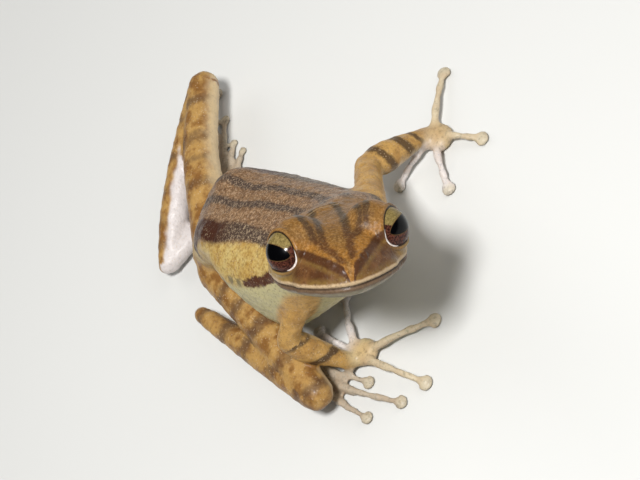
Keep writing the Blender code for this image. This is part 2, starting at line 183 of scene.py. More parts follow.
soft_light("key", (-44, -150, 348), 0.065, 1.6, mirrored_in_gloss=True)
soft_light("fill", (260, -200, 220), 0.35, 0.4)
soft_light("back", (60, 320, 260), 0.30, 0.5)

world = bpy.data.worlds.new("studio")
world.use_nodes = True
sky = world.node_tree.nodes["Background"]
sky.inputs["Color"].default_value = WARM_WHITE
sky.inputs["Strength"].default_value = SKY_STRENGTH
bpy.context.scene.world = world
world.cycles_visibility.glossy = False
bpy.context.scene.view_settings.view_transform = "Standard"
print("lights:", [light.name for light in bpy.data.lights])

# %% Floor
# Half the floor's side, in metres.
FLOOR_HALF = 3
FLOOR_GREY = (0.62, 0.62, 0.6, 1.0)
FLOOR_ROUGHNESS = 0.9

corners = FLOOR_HALF * np.array([(-1, -1, 0), (1, -1, 0), (1, 1, 0), (-1, 1, 0)])
floor_mesh = bpy.data.meshes.new("floor")
floor_mesh.from_pydata(corners.tolist(), [], [(0, 1, 2, 3)])
floor_paint = bpy.data.materials.new("floor_paint")
floor_paint.use_nodes = True
floor_shader = floor_paint.node_tree.nodes["Principled BSDF"]
floor_shader.inputs["Base Color"].default_value = FLOOR_GREY
floor_shader.inputs["Roughness"].default_value = FLOOR_ROUGHNESS
floor_mesh.materials.append(floor_paint)
floor = add_object("floor", floor_mesh)
print("floor of", 2 * FLOOR_HALF, "m across")

# %% [markdown]
# A frog's body has no flat side and no straight edge, so each piece of it is a grid: rings of points
# carried along a path. Trunk and head are one such grid, whose rings are two half superellipses that
# share their widest line. Every grid is closed at both ends, which the later fusing needs.


# %% Grids of rings
def ring_faces(rings, sides):
    """Quads between neighbouring rings, and a fan of triangles to a pole at each end."""
    k, i = np.meshgrid(np.arange(rings - 1), np.arange(sides), indexing="ij")
    j = (i + 1) % sides
    quads = np.stack([k * sides + i, k * sides + j, (k + 1) * sides + j, (k + 1) * sides + i], axis=-1)
    around = np.arange(sides)
    after = (around + 1) % sides
    first_pole = np.full(sides, rings * sides)
    last_pole = first_pole + 1
    last = (rings - 1) * sides
    fans = [np.stack([after, around, first_pole], 1), np.stack([last + around, last + after, last_pole], 1)]
    return quads.reshape(-1, 4), np.concatenate(fans)


def closed_grid(rings):
    """Points, quads and fans of rings, shape (rings, sides, 3), each end closed on its own middle."""
    points = np.vstack([rings.reshape(-1, 3), rings[0].mean(0), rings[-1].mean(0)])
    return points, *ring_faces(len(rings), rings.shape[1])


def section(half_width, top, edge, bottom, square_top, square_bottom, sides):
    """(left, up) of a ring: a superellipse above the widest line and another below, both of power 2 over
    their squareness."""
    around = (np.arange(sides) + 0.5) / sides * 2 * math.pi
    s, c = np.sin(around), np.cos(around)
    power = np.where(c >= 0, 2 / square_top, 2 / square_bottom)
    rise = np.where(c >= 0, top - edge, edge - bottom)
    left = half_width * np.sign(s) * np.abs(s) ** power
    return np.stack([left, edge + rise * np.sign(c) * np.abs(c) ** power], axis=1)


print("quads and fan triangles of 3 rings of 8 points:", [len(kind) for kind in ring_faces(3, 8)])

# %% [markdown]
# Trunk and head are one row of sections. The trunk's follow the spine, which is bent at the sacrum in a
# sitting frog. The head's share one frame, because a skull doesn't bend. A smooth curve through all of
# them fills in the neck, where modelling two pieces and joining them would leave a seam.

# %% Trunk and head
# Trunk sections from vent to neck: centre, (pitch, roll, yaw), half width, top, widest height, bottom and
# the squareness above and below.
TRUNK = [
    ((2.2, 6.4, 4.4), (48, -8, 24), 2.2, 2.2, 0.0, -2.4, 2.0, 2.0),
    ((3.7, 2.8, 6.2), (50, -9, 24), 4.4, 4.6, -0.4, -4.4, 2.2, 2.0),
    ((6.4, -2.8, 9.4), (50, -11, 24), 6.8, 7.2, 0.6, -6.6, 2.8, 2.0),
    ((8.2, -9.0, 12.4), (38, -14, 21), 9.2, 9.2, 1.0, -8.6, 3.2, 2.4),
    ((6.8, -15.2, 14.0), (26, -17, 10), 11.4, 9.3, 0.2, -10.2, 2.6, 3.1),
    ((6.2, -22.6, 15.7), (17, -19, 1), 11.8, 8.9, -0.4, -10.4, 2.4, 3.1),
    ((6.3, -29.4, 18.0), (14, -21, -6), 11.1, 8.0, -0.4, -8.9, 2.4, 2.6),
    ((6.6, -33.6, 20.7), (17, -23, -11), 10.4, 7.4, -0.6, -8.2, 2.3, 2.2),
    (NECK_AT, (22, -27, -16), 9.8, 7.0, -1.6, -7.4, 2.3, 2.0),
]

# Head sections by their place ahead of the head's origin: half width, crown, lip, throat and squareness.
HEAD = [
    (3.2, 9.8, 5.3, -2.6, -6.4, 2.35, 1.9),
    (6.4, 10.1, 5.2, -2.6, -6.2, 2.35, 1.85),
    (9.6, 10.0, 5.0, -2.5, -5.8, 2.3, 1.8),
    (12.8, 9.4, 4.6, -2.4, -5.4, 2.2, 1.8),
    (15.8, 8.2, 3.8, -2.25, -4.9, 2.1, 1.8),
    (18.4, 6.4, 2.8, -2.1, -4.4, 2.0, 1.9),
    (20.6, 4.3, 1.7, -2.0, -3.8, 2.0, 2.0),
    (22.0, 2.2, 0.5, -1.8, -3.1, 2.0, 2.0),
    (22.6, 0.7, -0.6, -1.6, -2.4, 2.0, 2.0),
]
BODY_SIDES = 96
RINGS_PER_SECTION = 9
TRUNK_STEPS = 120

# A station is one row: its centre, the nine numbers of its axes, and its six sizes.
stations = [list(c) + list(body_frame(*turn).ravel()) + sizes for c, turn, *sizes in TRUNK]
for ahead, *sizes in HEAD:
    stations.append([*from_head((ahead, 0, 0)), *HEAD_AXES.ravel(), *sizes])
trunk_rows = smooth_rows(stations[: len(TRUNK)], TRUNK_STEPS)
body_rows = smooth_rows(stations, RINGS_PER_SECTION * (len(stations) - 1) + 1)


def body_surface():
    """Each ring is its section's (left, up) points, times the section's left and up axes."""
    rings = []
    for row in body_rows:
        axes = row[3:12].reshape(3, 3)
        flat = section(*row[12:], sides=BODY_SIDES)
        rings.append(row[:3] + flat[:, :1] * axes[:, 1] + flat[:, 1:] * axes[:, 2])
    return closed_grid(np.array(rings))


surfaces = [body_surface()]
print("body grid:", len(surfaces[0][0]), "points")

# %% [markdown]
# Two more shapes are enough for the rest: a ball, for palms and lids, and a tube along a bent path, for
# limbs and digits. A cylinder with Blender's own modifiers could do the same, but a ring at each step gives
# control over width and height along the way.

# %% Balls and tubes
CAP_RINGS = 7


def ball_surface(centre, radii, axes=np.eye(3), rings=24, sides=36):
    """An ellipsoid: latitude runs along the first axis, longitude round it."""
    polar = np.linspace(0, math.pi, rings + 2)[1:-1, None]
    around = np.arange(sides)[None] / sides * 2 * math.pi
    local = np.stack(
        [
            radii[0] * np.cos(polar) * np.ones_like(around),
            radii[1] * np.sin(polar) * np.cos(around),
            radii[2] * np.sin(polar) * np.sin(around),
        ],
        axis=-1,
    )
    return closed_grid(np.asarray(centre) + local @ np.asarray(axes).T)


def tube_surface(path, sizes, up=(0, 0, 1), rings=48, sides=28):
    """A tube along a smooth path. Its ring at each step is an ellipse of (half width, half height), and
    each end is rounded by rings that shrink as a half ball does."""
    line = smooth_rows(path, rings)
    radii = smooth_rows(sizes, rings)
    ahead = unit(np.gradient(line, axis=0))
    side = unit(np.cross(ahead, np.asarray(up, float)))
    rise = np.cross(side, ahead)
    bend = np.radians(np.linspace(4, 86, CAP_RINGS))
    ends = np.zeros(CAP_RINGS, int)
    step = np.concatenate([ends, np.arange(rings), ends + rings - 1])
    reach = np.concatenate([-np.cos(bend), np.zeros(rings), np.cos(bend[::-1])])
    share = np.concatenate([np.sin(bend), np.ones(rings), np.sin(bend[::-1])])
    around = np.arange(sides) / sides * 2 * math.pi
    wide, high = radii[step, 0], radii[step, 1]
    centre = line[step] + ahead[step] * (reach * np.minimum(wide, high))[:, None]
    across = (share * wide)[:, None, None] * np.cos(around)[None, :, None] * side[step][:, None]
    lift = (share * high)[:, None, None] * np.sin(around)[None, :, None] * rise[step][:, None]
    return closed_grid(centre[:, None] + across + lift)


print("points of one ball:", len(ball_surface((0, 0, 0), (1, 1, 1))[0]))

# %% [markdown]
# The limbs are tubes between the joints. A frog's thigh is fullest at its root, its shin a third of the
# way down, and its elbow and knee are rounded knobs, so each tube has its own row of half widths. The
# joints' places are the CAD model's.

# %% Joints and limb tubes
SHOULDER = {"left": (15.6, -34.6, 17.6), "right": (0.2, -31.6, 21.4)}
ELBOW = {"left": (23.6, -24.7, 10.2), "right": (-8.6, -25.8, 13.4)}
WRIST = {"left": (33.7, -26.9, 2.0), "right": (-7.1, -30.3, 2.0)}
HIP = {"left": (6.0, 4.5, 6.8), "right": (0.8, -0.4, 7.6)}
KNEE = {"left": (33.1, 22.2, 7.3), "right": (-14.2, -29.3, 5.6)}
HEEL = {"left": (-0.5, 16.6, 2.9), "right": (-7.3, 3.0, 3.8)}
ANKLE = {"left": (14.9, 11.4, 1.7), "right": (-9.4, -15.0, 1.7)}

# Half widths and half heights at even steps along each limb piece.
LIMBS = {
    "upper_arm": (SHOULDER, ELBOW, [(2.9, 2.9), (2.2, 2.2), (1.9, 1.9), (1.9, 1.9)]),
    "forearm": (ELBOW, WRIST, [(1.9, 1.9), (2.4, 2.3), (2.1, 2.0), (1.75, 1.5), (1.7, 1.3)]),
    "thigh": (HIP, KNEE, [(4.4, 4.0), (3.7, 3.5), (3.4, 3.1), (3.2, 2.9), (2.95, 2.75)]),
    "shin": (KNEE, HEEL, [(2.95, 2.75), (2.75, 2.6), (2.5, 2.3), (2.0, 1.9), (1.7, 1.7)]),
    "tarsus": (HEEL, ANKLE, [(1.75, 1.7), (1.5, 1.35), (1.45, 1.25), (1.7, 1.3)]),
}
# The left shin and tarsus are pressed flat against the thigh, and the left arm pulls, so they are fuller
# than the right ones.
FULLER = {
    ("upper_arm", "left"): [(2.9, 2.9), (2.5, 2.5), (2.35, 2.35), (2.3, 2.3)],
    ("forearm", "left"): [(2.3, 2.3), (2.8, 2.6), (2.5, 2.3), (1.95, 1.7), (1.7, 1.3)],
    ("shin", "left"): [(2.95, 2.75), (2.9, 2.7), (2.9, 2.7), (2.85, 2.6), (2.0, 1.9)],
    ("tarsus", "left"): [(2.0, 1.9), (2.15, 1.75), (1.6, 1.4), (1.7, 1.3)],
}
# How far the middle of a piece bows off the straight line.
BOWS = {("thigh", "left"): (-0.4, 1.3, 0.7), ("shin", "left"): (0.3, 0.6, 0.6)}
SIDES = ("left", "right")
MIRROR = {"left": 1, "right": -1}


def limb_path(piece, side):
    """Root, middle and end of a limb piece, the middle moved by its bow."""
    root, end, _ = LIMBS[piece]
    ends = [np.array(root[side]), np.array(end[side])]
    return [ends[0], sum(ends) / 2 + BOWS.get((piece, side), 0.0), ends[1]]


def limb_sizes(piece, side):
    """Half widths and half heights of a limb piece, the fuller ones where it has them."""
    return FULLER.get((piece, side), LIMBS[piece][2])


for piece in LIMBS:
    for side in SIDES:
        surfaces.append(tube_surface(limb_path(piece, side), limb_sizes(piece, side), rings=60))
print("limb tubes:", len(surfaces) - 1)

# %% [markdown]
# A tree frog's finger is slim, swells at each joint, and ends in a round flat disc that grips. The path of
# a digit arches a little off the floor, and its width follows those knobs. It could be put together from
# balls, but a tube with a row of widths has no creases between them.

# %% Digits
FINGER_TIPS = {
    "left": [(24.0, -24.6), (25.4, -34.8), (35.3, -37.4), (45.8, -24.2)],
    "right": [(-3.7, -20.4), (3.4, -22.8), (3.8, -42.2), (-6.5, -45.2)],
}
PALM_AT = {"left": (33.8, -29.2, 1.1), "right": (-4.8, -31.6, 1.1)}
PALM_RADII = (2.6, 2.6, 1.4)
FINGER_DISC = 1.3
FINGER_HALF_WIDTH = 0.66
FINGER_ROOT = 2.1
TOE_HALF_WIDTH = 0.6
TOE_ROOT = 1.3
DIGIT_SIDES = 24
DIGIT_ARCH = 0.35
TIP_HEIGHT = 0.55
TIP_REACH = 0.95
DIGIT_RINGS = 90

# Toes one to five: points ahead of and out from the foot's line, and the disc's half width.
TOES = [
    ([(9.8, -4.2)], 0.85),
    ([(12.6, -2.1)], 0.9),
    ([(19.4, -0.2)], 1.1),
    ([(18.0, 1.9), (27.0, 1.2)], 1.15),
    ([(21.8, 5.4)], 1.1),
]
TOE_AHEAD = {"left": unit((0.84, 0.54, 0.0)), "right": np.array([0.0, -1.0, 0.0])}
TOE_SCALE = {"left": 0.88, "right": 1.0}
TOE_ROOT_SPACING = 1.15


def digit_path(points):
    """Root, a raised middle, and a tip that reaches a little past the middle of its disc."""
    points = [np.array(p, float) for p in points]
    if len(points) == 2:
        points.insert(1, (points[0] + points[1]) / 2)
    points[1][2] = points[0][2] + DIGIT_ARCH
    points[-1][2] = TIP_HEIGHT
    points[-1] = points[-1] + unit(points[-1] - points[-2]) * TIP_REACH
    return points


def digit_surface(points, disc, half_width, root):
    """A tube with a knob at each joint. Near its tip its half width is the half chord of a round disc:
    the root of the disc's radius squared less the square of the way to the disc's middle."""
    path = digit_path(points)
    steps = np.linalg.norm(np.diff(smooth_rows(path, DIGIT_RINGS), axis=0), axis=1)
    to_tip = steps.sum() - np.concatenate([[0], np.cumsum(steps)])
    knobs = [root, (root + 1) / 2, 0.3 * root + 0.7, 1.1, 1.24, 1.0, 0.9, 1.1, 0.9, 0.82, 0.8]
    heights = [1.1, 0.95, 0.8, 0.7, 0.74, 0.64, 0.56, 0.6, 0.54, 0.56, 0.5]
    sizes = smooth_rows(np.stack([half_width * np.array(knobs), heights], axis=1), DIGIT_RINGS)
    chord = np.sqrt(np.maximum(disc**2 - (to_tip - disc) ** 2, 0.02))
    sizes[:, 0] = np.where(to_tip > disc, np.maximum(sizes[:, 0], chord), chord)
    return tube_surface(path, sizes, rings=DIGIT_RINGS, sides=DIGIT_SIDES)


print("a digit's tube has", DIGIT_RINGS, "rings")

# %% [markdown]
# A hand is a padded palm with four fingers, and a foot is a long sole with five toes that spread from it.
# Each is laid out from a few spots on the floor: the fingers' tips, placed so that they fall where the
# photograph shows them, and the toes' reaches ahead and out, which both feet share.

# %% Hands and feet
# How much of a finger's root is the palm's place, and the rest is the wrist's.
PALM_SHARE = 0.6
TOE_ROOT_AHEAD = 2.0
TOE_ROOT_HEIGHT = 0.8
# Steps of the sole: how far ahead of the ankle and below it, half width and half height.
SOLE = [(-1, 0.0, 1.7, 1.3), (3, 0.5, 2.6, 1.1), (7, 1.05, 3.0, 0.5)]

digits = []
for side in SIDES:
    palm = np.array(PALM_AT[side])
    wrist = np.array(WRIST[side])
    surfaces.append(ball_surface(palm, PALM_RADII))
    for tip in FINGER_TIPS[side]:
        root = palm * PALM_SHARE + wrist * (1 - PALM_SHARE)
        points = [root, (*tip, TIP_HEIGHT)]
        digits.append((side, "finger", digit_path(points), FINGER_DISC))
        surfaces.append(digit_surface(points, FINGER_DISC, FINGER_HALF_WIDTH, FINGER_ROOT))

toe_paths = {side: [] for side in SIDES}
for side in SIDES:
    ankle = np.array(ANKLE[side])
    ahead = TOE_AHEAD[side]
    across = np.cross([0, 0, 1], ahead) * MIRROR[side]
    for k, (places, disc) in enumerate(TOES):
        root = ankle + ahead * TOE_ROOT_AHEAD + across * (k - 2) * TOE_ROOT_SPACING
        root[2] = TOE_ROOT_HEIGHT
        points = [root]
        for reach, out in places:
            spot = TOE_SCALE[side] * (ahead * reach + across * out)
            points.append(ankle * [1, 1, 0] + spot + [0, 0, TIP_HEIGHT])
        path = digit_path(points)
        toe_paths[side].append(path)
        digits.append((side, "toe", path, disc))
        surfaces.append(digit_surface(points, disc, TOE_HALF_WIDTH, TOE_ROOT))
    sole = [ankle + ahead * reach - [0, 0, drop] for reach, drop, *_ in SOLE]
    surfaces.append(tube_surface(sole, [size for _, _, *size in SOLE]))
print("fingers and toes:", len(digits))

# %% [markdown]
# The webs between the toes are thin skin with a hollow edge. A single sheet would tear in the fusing that
# follows, which needs closed pieces, so each web is a very flat tube: its rings are ellipses that span two
# neighbouring toes.

# %% Webs
WEB_REACH = 0.62
WEB_HOLLOW = 0.4
WEB_HALF_THICK = 0.34
WEB_HEIGHT = 0.5
WEB_RINGS = 26
WEB_SIDES = 28
TOE_STEPS = 60


def web_surface(first, second):
    """A sheet between two toes. Across it u runs 0 to 1, and a ring there is a flat ellipse. Its reach
    along the toes is cut back in the middle by the hollow, as 4u(1 - u)."""
    lines = [smooth_rows(path, TOE_STEPS) for path in (first, second)]
    shortest = min(np.linalg.norm(line[-1] - line[0]) for line in lines)
    around = np.arange(WEB_SIDES) / WEB_SIDES * 2 * math.pi
    u = 0.5 - 0.5 * np.cos(around)
    along = np.linspace(0.05, WEB_REACH, WEB_RINGS)[:, None] * (1 - WEB_HOLLOW * 4 * u * (1 - u) * 0.9)
    sheet = np.zeros((WEB_RINGS, WEB_SIDES, 3))
    for line, share in zip(lines, (1 - u, u)):
        length = np.linalg.norm(line[-1] - line[0])
        place = np.clip(along * shortest / length * 1.25, 0, 1) * (TOE_STEPS - 1)
        low = np.minimum(place.astype(int), TOE_STEPS - 2)
        mix = (place - low)[..., None]
        sheet += share[None, :, None] * (line[low] * (1 - mix) + line[low + 1] * mix)
    sheet[..., 2] = WEB_HEIGHT + WEB_HALF_THICK * np.sin(around)
    return closed_grid(sheet)


for side in SIDES:
    for first, second in zip(toe_paths[side][:-1], toe_paths[side][1:]):
        surfaces.append(web_surface(first, second))
print("webs:", 2 * (len(TOES) - 1))

# %% [markdown]
# The lids start as a ball a little larger than the eye. It stands out of the head on each side, and the
# eyeball will be set into it once the skin is fused.

# %% Domes of the lids
LID_AT = (11.2, 5.4, 2.5)
LID_RADIUS = 4.3


def mirrored(way, side):
    """A place or direction of the head's left half, on either side."""
    return np.array([way[0], way[1] * MIRROR[side], way[2]])


for side in SIDES:
    surfaces.append(ball_surface(from_head(mirrored(LID_AT, side)), (LID_RADIUS,) * 3))
print("closed grids to fuse:", len(surfaces))

# %% [markdown]
# The grids overlap where a limb leaves the body. A voxel remesh turns them into one closed surface that
# follows the outside of them all, which is how a sculptor's tool fuses clay. Small steps that the voxels
# leave are then relaxed, most of all in the hollows where a limb meets the body, where skin stretches.

# %% Fusing into one skin
VOXEL = 0.38
EVEN_ROUNDS = 4
STRETCH_ROUNDS = 26


def make_mesh(name, points, faces):
    """A mesh in metres of the model's frame."""
    mesh = bpy.data.meshes.new(name)
    mesh.from_pydata(((points + POSE_SHIFT) * MM).tolist(), [], faces)
    mesh.update()
    return mesh


def read_points(mesh):
    """The mesh's points, in millimetres of the pose's frame."""
    flat = np.empty(len(mesh.vertices) * 3)
    mesh.vertices.foreach_get("co", flat)
    return flat.reshape(-1, 3) / MM - POSE_SHIFT


def fuse(parts, voxel):
    """One mesh of all the parts, remeshed on a grid of cubes of side voxel."""
    points = []
    faces = []
    start = 0
    for part_points, quads, fans in parts:
        points.append(part_points)
        faces += (quads + start).tolist() + (fans + start).tolist()
        start += len(part_points)
    source = add_object("clay", make_mesh("clay", np.vstack(points), faces))
    step = source.modifiers.new("fuse", "REMESH")
    step.mode = "VOXEL"
    step.voxel_size = voxel * MM
    bpy.context.view_layer.update()
    graph = bpy.context.evaluated_depsgraph_get()
    result = bpy.data.meshes.new_from_object(source.evaluated_get(graph))
    bpy.data.objects.remove(source)
    return result


def mesh_edges(mesh):
    """Pairs of point numbers, one for each edge."""
    flat = np.empty(len(mesh.edges) * 2, int)
    mesh.edges.foreach_get("vertices", flat)
    return flat.reshape(-1, 2)


def relax(points, edges, strength, rounds):
    """Each round moves a point towards the mean of its neighbours, by its own strength."""
    count = np.bincount(edges.ravel(), minlength=len(points))[:, None]
    for _ in range(rounds):
        total = np.empty_like(points)
        for axis in range(3):
            one = np.bincount(edges[:, 0], points[edges[:, 1], axis], len(points))
            two = np.bincount(edges[:, 1], points[edges[:, 0], axis], len(points))
            total[:, axis] = one + two
        points = points + strength * (total / np.maximum(count, 1) - points)
    return points


def nearest_to(points, spots):
    """Distance from each point to the nearest of a few spots."""
    return np.min([np.linalg.norm(points - np.asarray(spot), axis=1) for spot in spots], axis=0)


skin_mesh = fuse(surfaces, VOXEL)
points = read_points(skin_mesh)
edges = mesh_edges(skin_mesh)
points = relax(points, edges, np.full((len(points), 1), 0.5), EVEN_ROUNDS)
roots = [SHOULDER["left"], SHOULDER["right"], HIP["left"], HIP["right"]]
bends = [joint[side] for joint in (ELBOW, KNEE, HEEL, WRIST, ANKLE) for side in SIDES]
near_roots = 1 - ramp(nearest_to(points, roots), 3.0, 7.0)
near_bends = 0.6 - 0.6 * ramp(nearest_to(points, bends), 1.5, 4.0)
softness = np.maximum(near_roots, near_bends)
points = relax(points, edges, 0.7 * softness[:, None], STRETCH_ROUNDS)
print("skin after fusing:", len(points), "points", len(skin_mesh.polygons), "faces")

# %% [markdown]
# Lids, lips and nostrils are finer than the rest of the frog. Smaller voxels everywhere would cost a
# million faces, so only the faces near them are split in four.

# %% Finer faces on the face
MOUTH_RISE = 0.045
MOUTH_AT = (7.0, -2.65)
NOSTRIL_AT = (20.0, 2.1, 1.1)


def mouth_height(place):
    """Height above the mouth's plane, for points of the head's frame."""
    return place[:, 2] - MOUTH_AT[1] - (place[:, 0] - MOUTH_AT[0]) * MOUTH_RISE


def write_points(mesh, points):
    """Puts points of the pose's frame into the mesh, in metres."""
    mesh.vertices.foreach_set("co", ((points + POSE_SHIFT) * MM).ravel())
    mesh.update()


def left_half(place):
    """Points of the head's frame, the right ones mirrored onto the left half."""
    return np.stack([place[:, 0], np.abs(place[:, 1]), place[:, 2]], axis=1)


def fine_zone(place):
    """1 within 5.4 mm of an eye, 2 mm of a nostril and 0.9 mm of the mouth's plane, for points of the
    head's frame, and 0 from about half a millimetre further off."""
    near_eye = 1 - ramp(np.linalg.norm(left_half(place) - EYE_AT, axis=1), 5.4, 6.0)
    near_nose = 1 - ramp(np.linalg.norm(left_half(place) - NOSTRIL_AT, axis=1), 2.0, 2.6)
    near_mouth = (1 - ramp(np.abs(mouth_height(place)), 0.9, 1.3)) * ramp(place[:, 0], 3.4, 4.4)
    return np.max([near_eye, near_nose, near_mouth], axis=0) * ramp(place[:, 0], 3.0, 4.0)


write_points(skin_mesh, points)
inside = fine_zone(to_head(points)) > 0
bm = bmesh.new()
bm.from_mesh(skin_mesh)
bm.edges.ensure_lookup_table()
chosen = [bm.edges[number] for number in np.flatnonzero(inside[edges].all(axis=1))]
bmesh.ops.subdivide_edges(bm, edges=chosen, cuts=1, use_grid_fill=True)
bm.to_mesh(skin_mesh)
bm.free()
points = read_points(skin_mesh)
edges = mesh_edges(skin_mesh)
points = relax(points, edges, 0.5 * fine_zone(to_head(points))[:, None], 3)
print("skin with a finer face:", len(points), "points")

# %% [markdown]
# A frog's lids hug its eyeball. Cutting a hole into the skin would leave a raw edge, so the skin near the
# eye is pressed into shape instead: round the eye's axis, its distance from the eye's middle is a function
# of the angle past the lids' edge alone. Inside the opening it sinks below the eyeball's surface.

# %% Lids
EYE_LOOKS = (0.46, 0.88, 0.08)
# Degrees: half the lids' opening, how much wider its front is, and how far the lower lid rises.
LID_OPENING = 63
FRONT_WIDER = 4
LOWER_LID_RISE = 26
# Degrees past the edge of the lids' opening, and how far the skin stands out from the eyeball there.
LID_PROFILE = [
    (-60, -0.8), (-7, -0.8), (-3, -0.35), (0, 0.12), (3, 0.4), (7, 0.46), (12, 0.36), (20, 0.42), (34, 0.75)
]


def eye_centre(side):
    """The middle of an eye, in the pose's frame."""
    return from_head(mirrored(EYE_AT, side))


def eye_frame(side):
    """Columns: where the eye looks, towards the snout, and up."""
    looks = unit(HEAD_AXES @ mirrored(EYE_LOOKS, side))
    forward = unit(HEAD_AXES[:, 0] - (HEAD_AXES[:, 0] @ looks) * looks)
    return np.stack([looks, forward, np.cross(looks, forward) * -MIRROR[side]], axis=1)


def eye_opening(turn):
    """Degrees from the eye's axis to the lids' edge, by the turn round that axis. The front is a little
    wider than the back, and the lower lid stands higher than a circle would, by the sine squared."""
    return LID_OPENING + FRONT_WIDER * np.cos(turn) - LOWER_LID_RISE * np.maximum(0, -np.sin(turn)) ** 2


def past_lids(points, side):
    """Degrees past the lids' edge as seen from the eye's middle, and the distance from there."""
    away = points - eye_centre(side)
    length = np.maximum(np.linalg.norm(away, axis=1), 1e-9)
    local = away @ eye_frame(side) / length[:, None]
    turn = np.arctan2(local[:, 2], local[:, 1])
    return np.degrees(np.arccos(np.clip(local[:, 0], -1, 1))) - eye_opening(turn), length


def press_lids(points, side):
    """Moves skin near an eye in or out to its lid profile, all of the way up to 9 degrees past the edge
    and none past 38."""
    past, length = past_lids(points, side)
    stand = np.interp(past, *np.array(LID_PROFILE).T)
    near = 1 - ramp(length, EYE_RADIUS + 1.8, EYE_RADIUS + 3.2)
    share = (1 - ramp(past, 9, 38)) * near
    ray = (points - eye_centre(side)) / length[:, None]
    return points + (share * (EYE_RADIUS + stand - length))[:, None] * ray


for side in SIDES:
    points = press_lids(points, side)
front_and_low = eye_opening(np.radians([0, -90]))
print("degrees from the eye's axis to the lids' edge, in front and below:", front_and_low)

# %% [markdown]
# The discs at the tips of the digits, which grip on wet leaves, came out of the fusing a little stepped.
# Finer voxels would smooth them at the cost of many faces, so their edges are moved onto a true circle.

# %% Round discs
DISC_HALF_HEIGHT = 0.5


def round_disc(points, path, disc):
    """Moves the edge of a digit's disc, level with the floor, onto a circle. At a height, the edge's radius
    is the disc's times the root of 1 less the square of that height over half the disc's own."""
    ahead = unit((path[-1] - path[-2])[:2])
    away = points[:, :2] - (path[-1][:2] - ahead * disc)
    reach = np.maximum(np.linalg.norm(away, axis=1), 1e-9)
    way = away / reach[:, None]
    height = np.clip(np.abs(points[:, 2] - TIP_HEIGHT) / DISC_HALF_HEIGHT, 0, 0.9)
    share = ramp(way @ ahead, -0.75, -0.35) * ramp(reach, 0.6 * disc, 0.85 * disc)
    share *= (1 - ramp(reach, disc + 0.3, disc + 0.6)) * (1 - ramp(height, 0.4, 0.85))
    moved = points.copy()
    moved[:, :2] += (share * (disc * np.sqrt(1 - height**2) - reach))[:, None] * way
    return moved


for _, _, path, disc in digits:
    points = round_disc(points, path, disc)
print("discs made round:", len(digits))

# %% [markdown]
# Relief is a move of the points along their normals. The mouth is a groove along a plane through the jaw,
# with a lip on each side of it, and bells of distance raise ridges and sink pits. Sculpting would do as
# well by hand. A formula keeps both halves of the head alike.


# %% Relief of head and back
def normals_of(mesh, points):
    """The mesh's own point normals, once the points are in it."""
    write_points(mesh, points)
    flat = np.empty(len(mesh.vertices) * 3)
    mesh.vertex_normals.foreach_get("vector", flat)
    return flat.reshape(-1, 3)


def chain_distance(flat, chain):
    """Distance from each point to a chain of straight runs, in a plane or in space. A run's nearest spot
    lies at the share t of it where the line to the point stands square on the run, held within 0 to 1."""
    best = np.full(len(flat), 1e9)
    for a, b in zip(np.asarray(chain, float)[:-1], np.asarray(chain, float)[1:]):
        run = b - a
        t = np.clip((flat - a) @ run / (run @ run), 0, 1)
        best = np.minimum(best, np.linalg.norm(flat - a - t[:, None] * run, axis=1))
    return best


EARDRUM_AT = (5.6, 9.6, -0.2)
EARDRUM_RING = 2.0
LOREAL_AT = (18.4, 4.6, 0.4)
FOLD = [(9.4, 8.2, 2.6), (6.6, 8.4, 2.8), (4.0, 9.0, 1.7), (2.4, 9.8, -0.6)]
CANTHUS = [(15.6, 6.2, 2.9), (17.8, 4.1, 2.2), (20.2, 2.0, 1.3), (22.0, 0.7, 0.3)]
NECK_CREASE = [(9.2, -5.6), (7.0, -3.6), (4.6, -1.3), (3.8, 1.6)]
HUMPS = [((13.4, -5.2, 17.6), 1.1, 3.4), ((3.6, -7.4, 20.4), 0.5, 1.6)]

normals = normals_of(skin_mesh, points)
place = to_head(points)
ahead, out, up = place[:, 0], np.abs(place[:, 1]), place[:, 2]
on_head = ramp(ahead, 2.0, 3.5) * (out < 12) * (up > -8) * (up < 9)
lip = mouth_height(place)
mouth = on_head * ramp(ahead, 4.0, 6.0)
lift = mouth * (-0.34 * bell(lip, 0.17) + 0.12 * bell(lip - 0.55, 0.35) + 0.08 * bell(lip + 0.5, 0.35))
on_left = left_half(place)
nostril = np.linalg.norm(on_left - NOSTRIL_AT, axis=1)
lift += on_head * (-0.5 * bell(nostril, 0.34) + 0.16 * bell(nostril - 0.75, 0.3))
drum = np.linalg.norm((on_left - EARDRUM_AT)[:, [0, 2]], axis=1)
beside = on_head * (out > 6.5)
lift += beside * (0.22 * bell(drum - EARDRUM_RING, 0.3) - 0.12 * bell(drum, 1.4))
fold = chain_distance(on_left, FOLD)
lift += on_head * (0.5 * bell(fold, 0.65))
canthus = chain_distance(on_left, CANTHUS)
lift += on_head * 0.26 * bell(canthus, 0.8)
loreal = np.linalg.norm(on_left - LOREAL_AT, axis=1)
lift -= on_head * 0.22 * bell(loreal, 1.8)
crease = chain_distance(place[:, :2], NECK_CREASE)
on_top = ramp(up, 2.5, 4.0) * ramp(ahead, -3, 0)
lift += on_top * (0.22 * bell(crease - 0.5, 0.4) - 0.3 * bell(crease, 0.28))
# Two humps of the hip girdle stand up under the skin, where the back breaks.
for spot, height, width in HUMPS:
    lift += height * bell(np.linalg.norm(points - spot, axis=1), width)

# No skin is even: a sum of waves in ten seeded directions, each 1.2 to 3 mm long.
WAVES = 10
WAVE_HEIGHT = 0.016
waves = np.random.default_rng(7)
uneven = np.zeros(len(points))
for _ in range(WAVES):
    way = unit(waves.normal(size=3)) * 2 * math.pi / waves.uniform(1.2, 3.0)
    uneven += np.sin(points @ way + waves.uniform(0, 2 * math.pi))
lift += WAVE_HEIGHT * uneven * (1 - 0.6 * on_head)
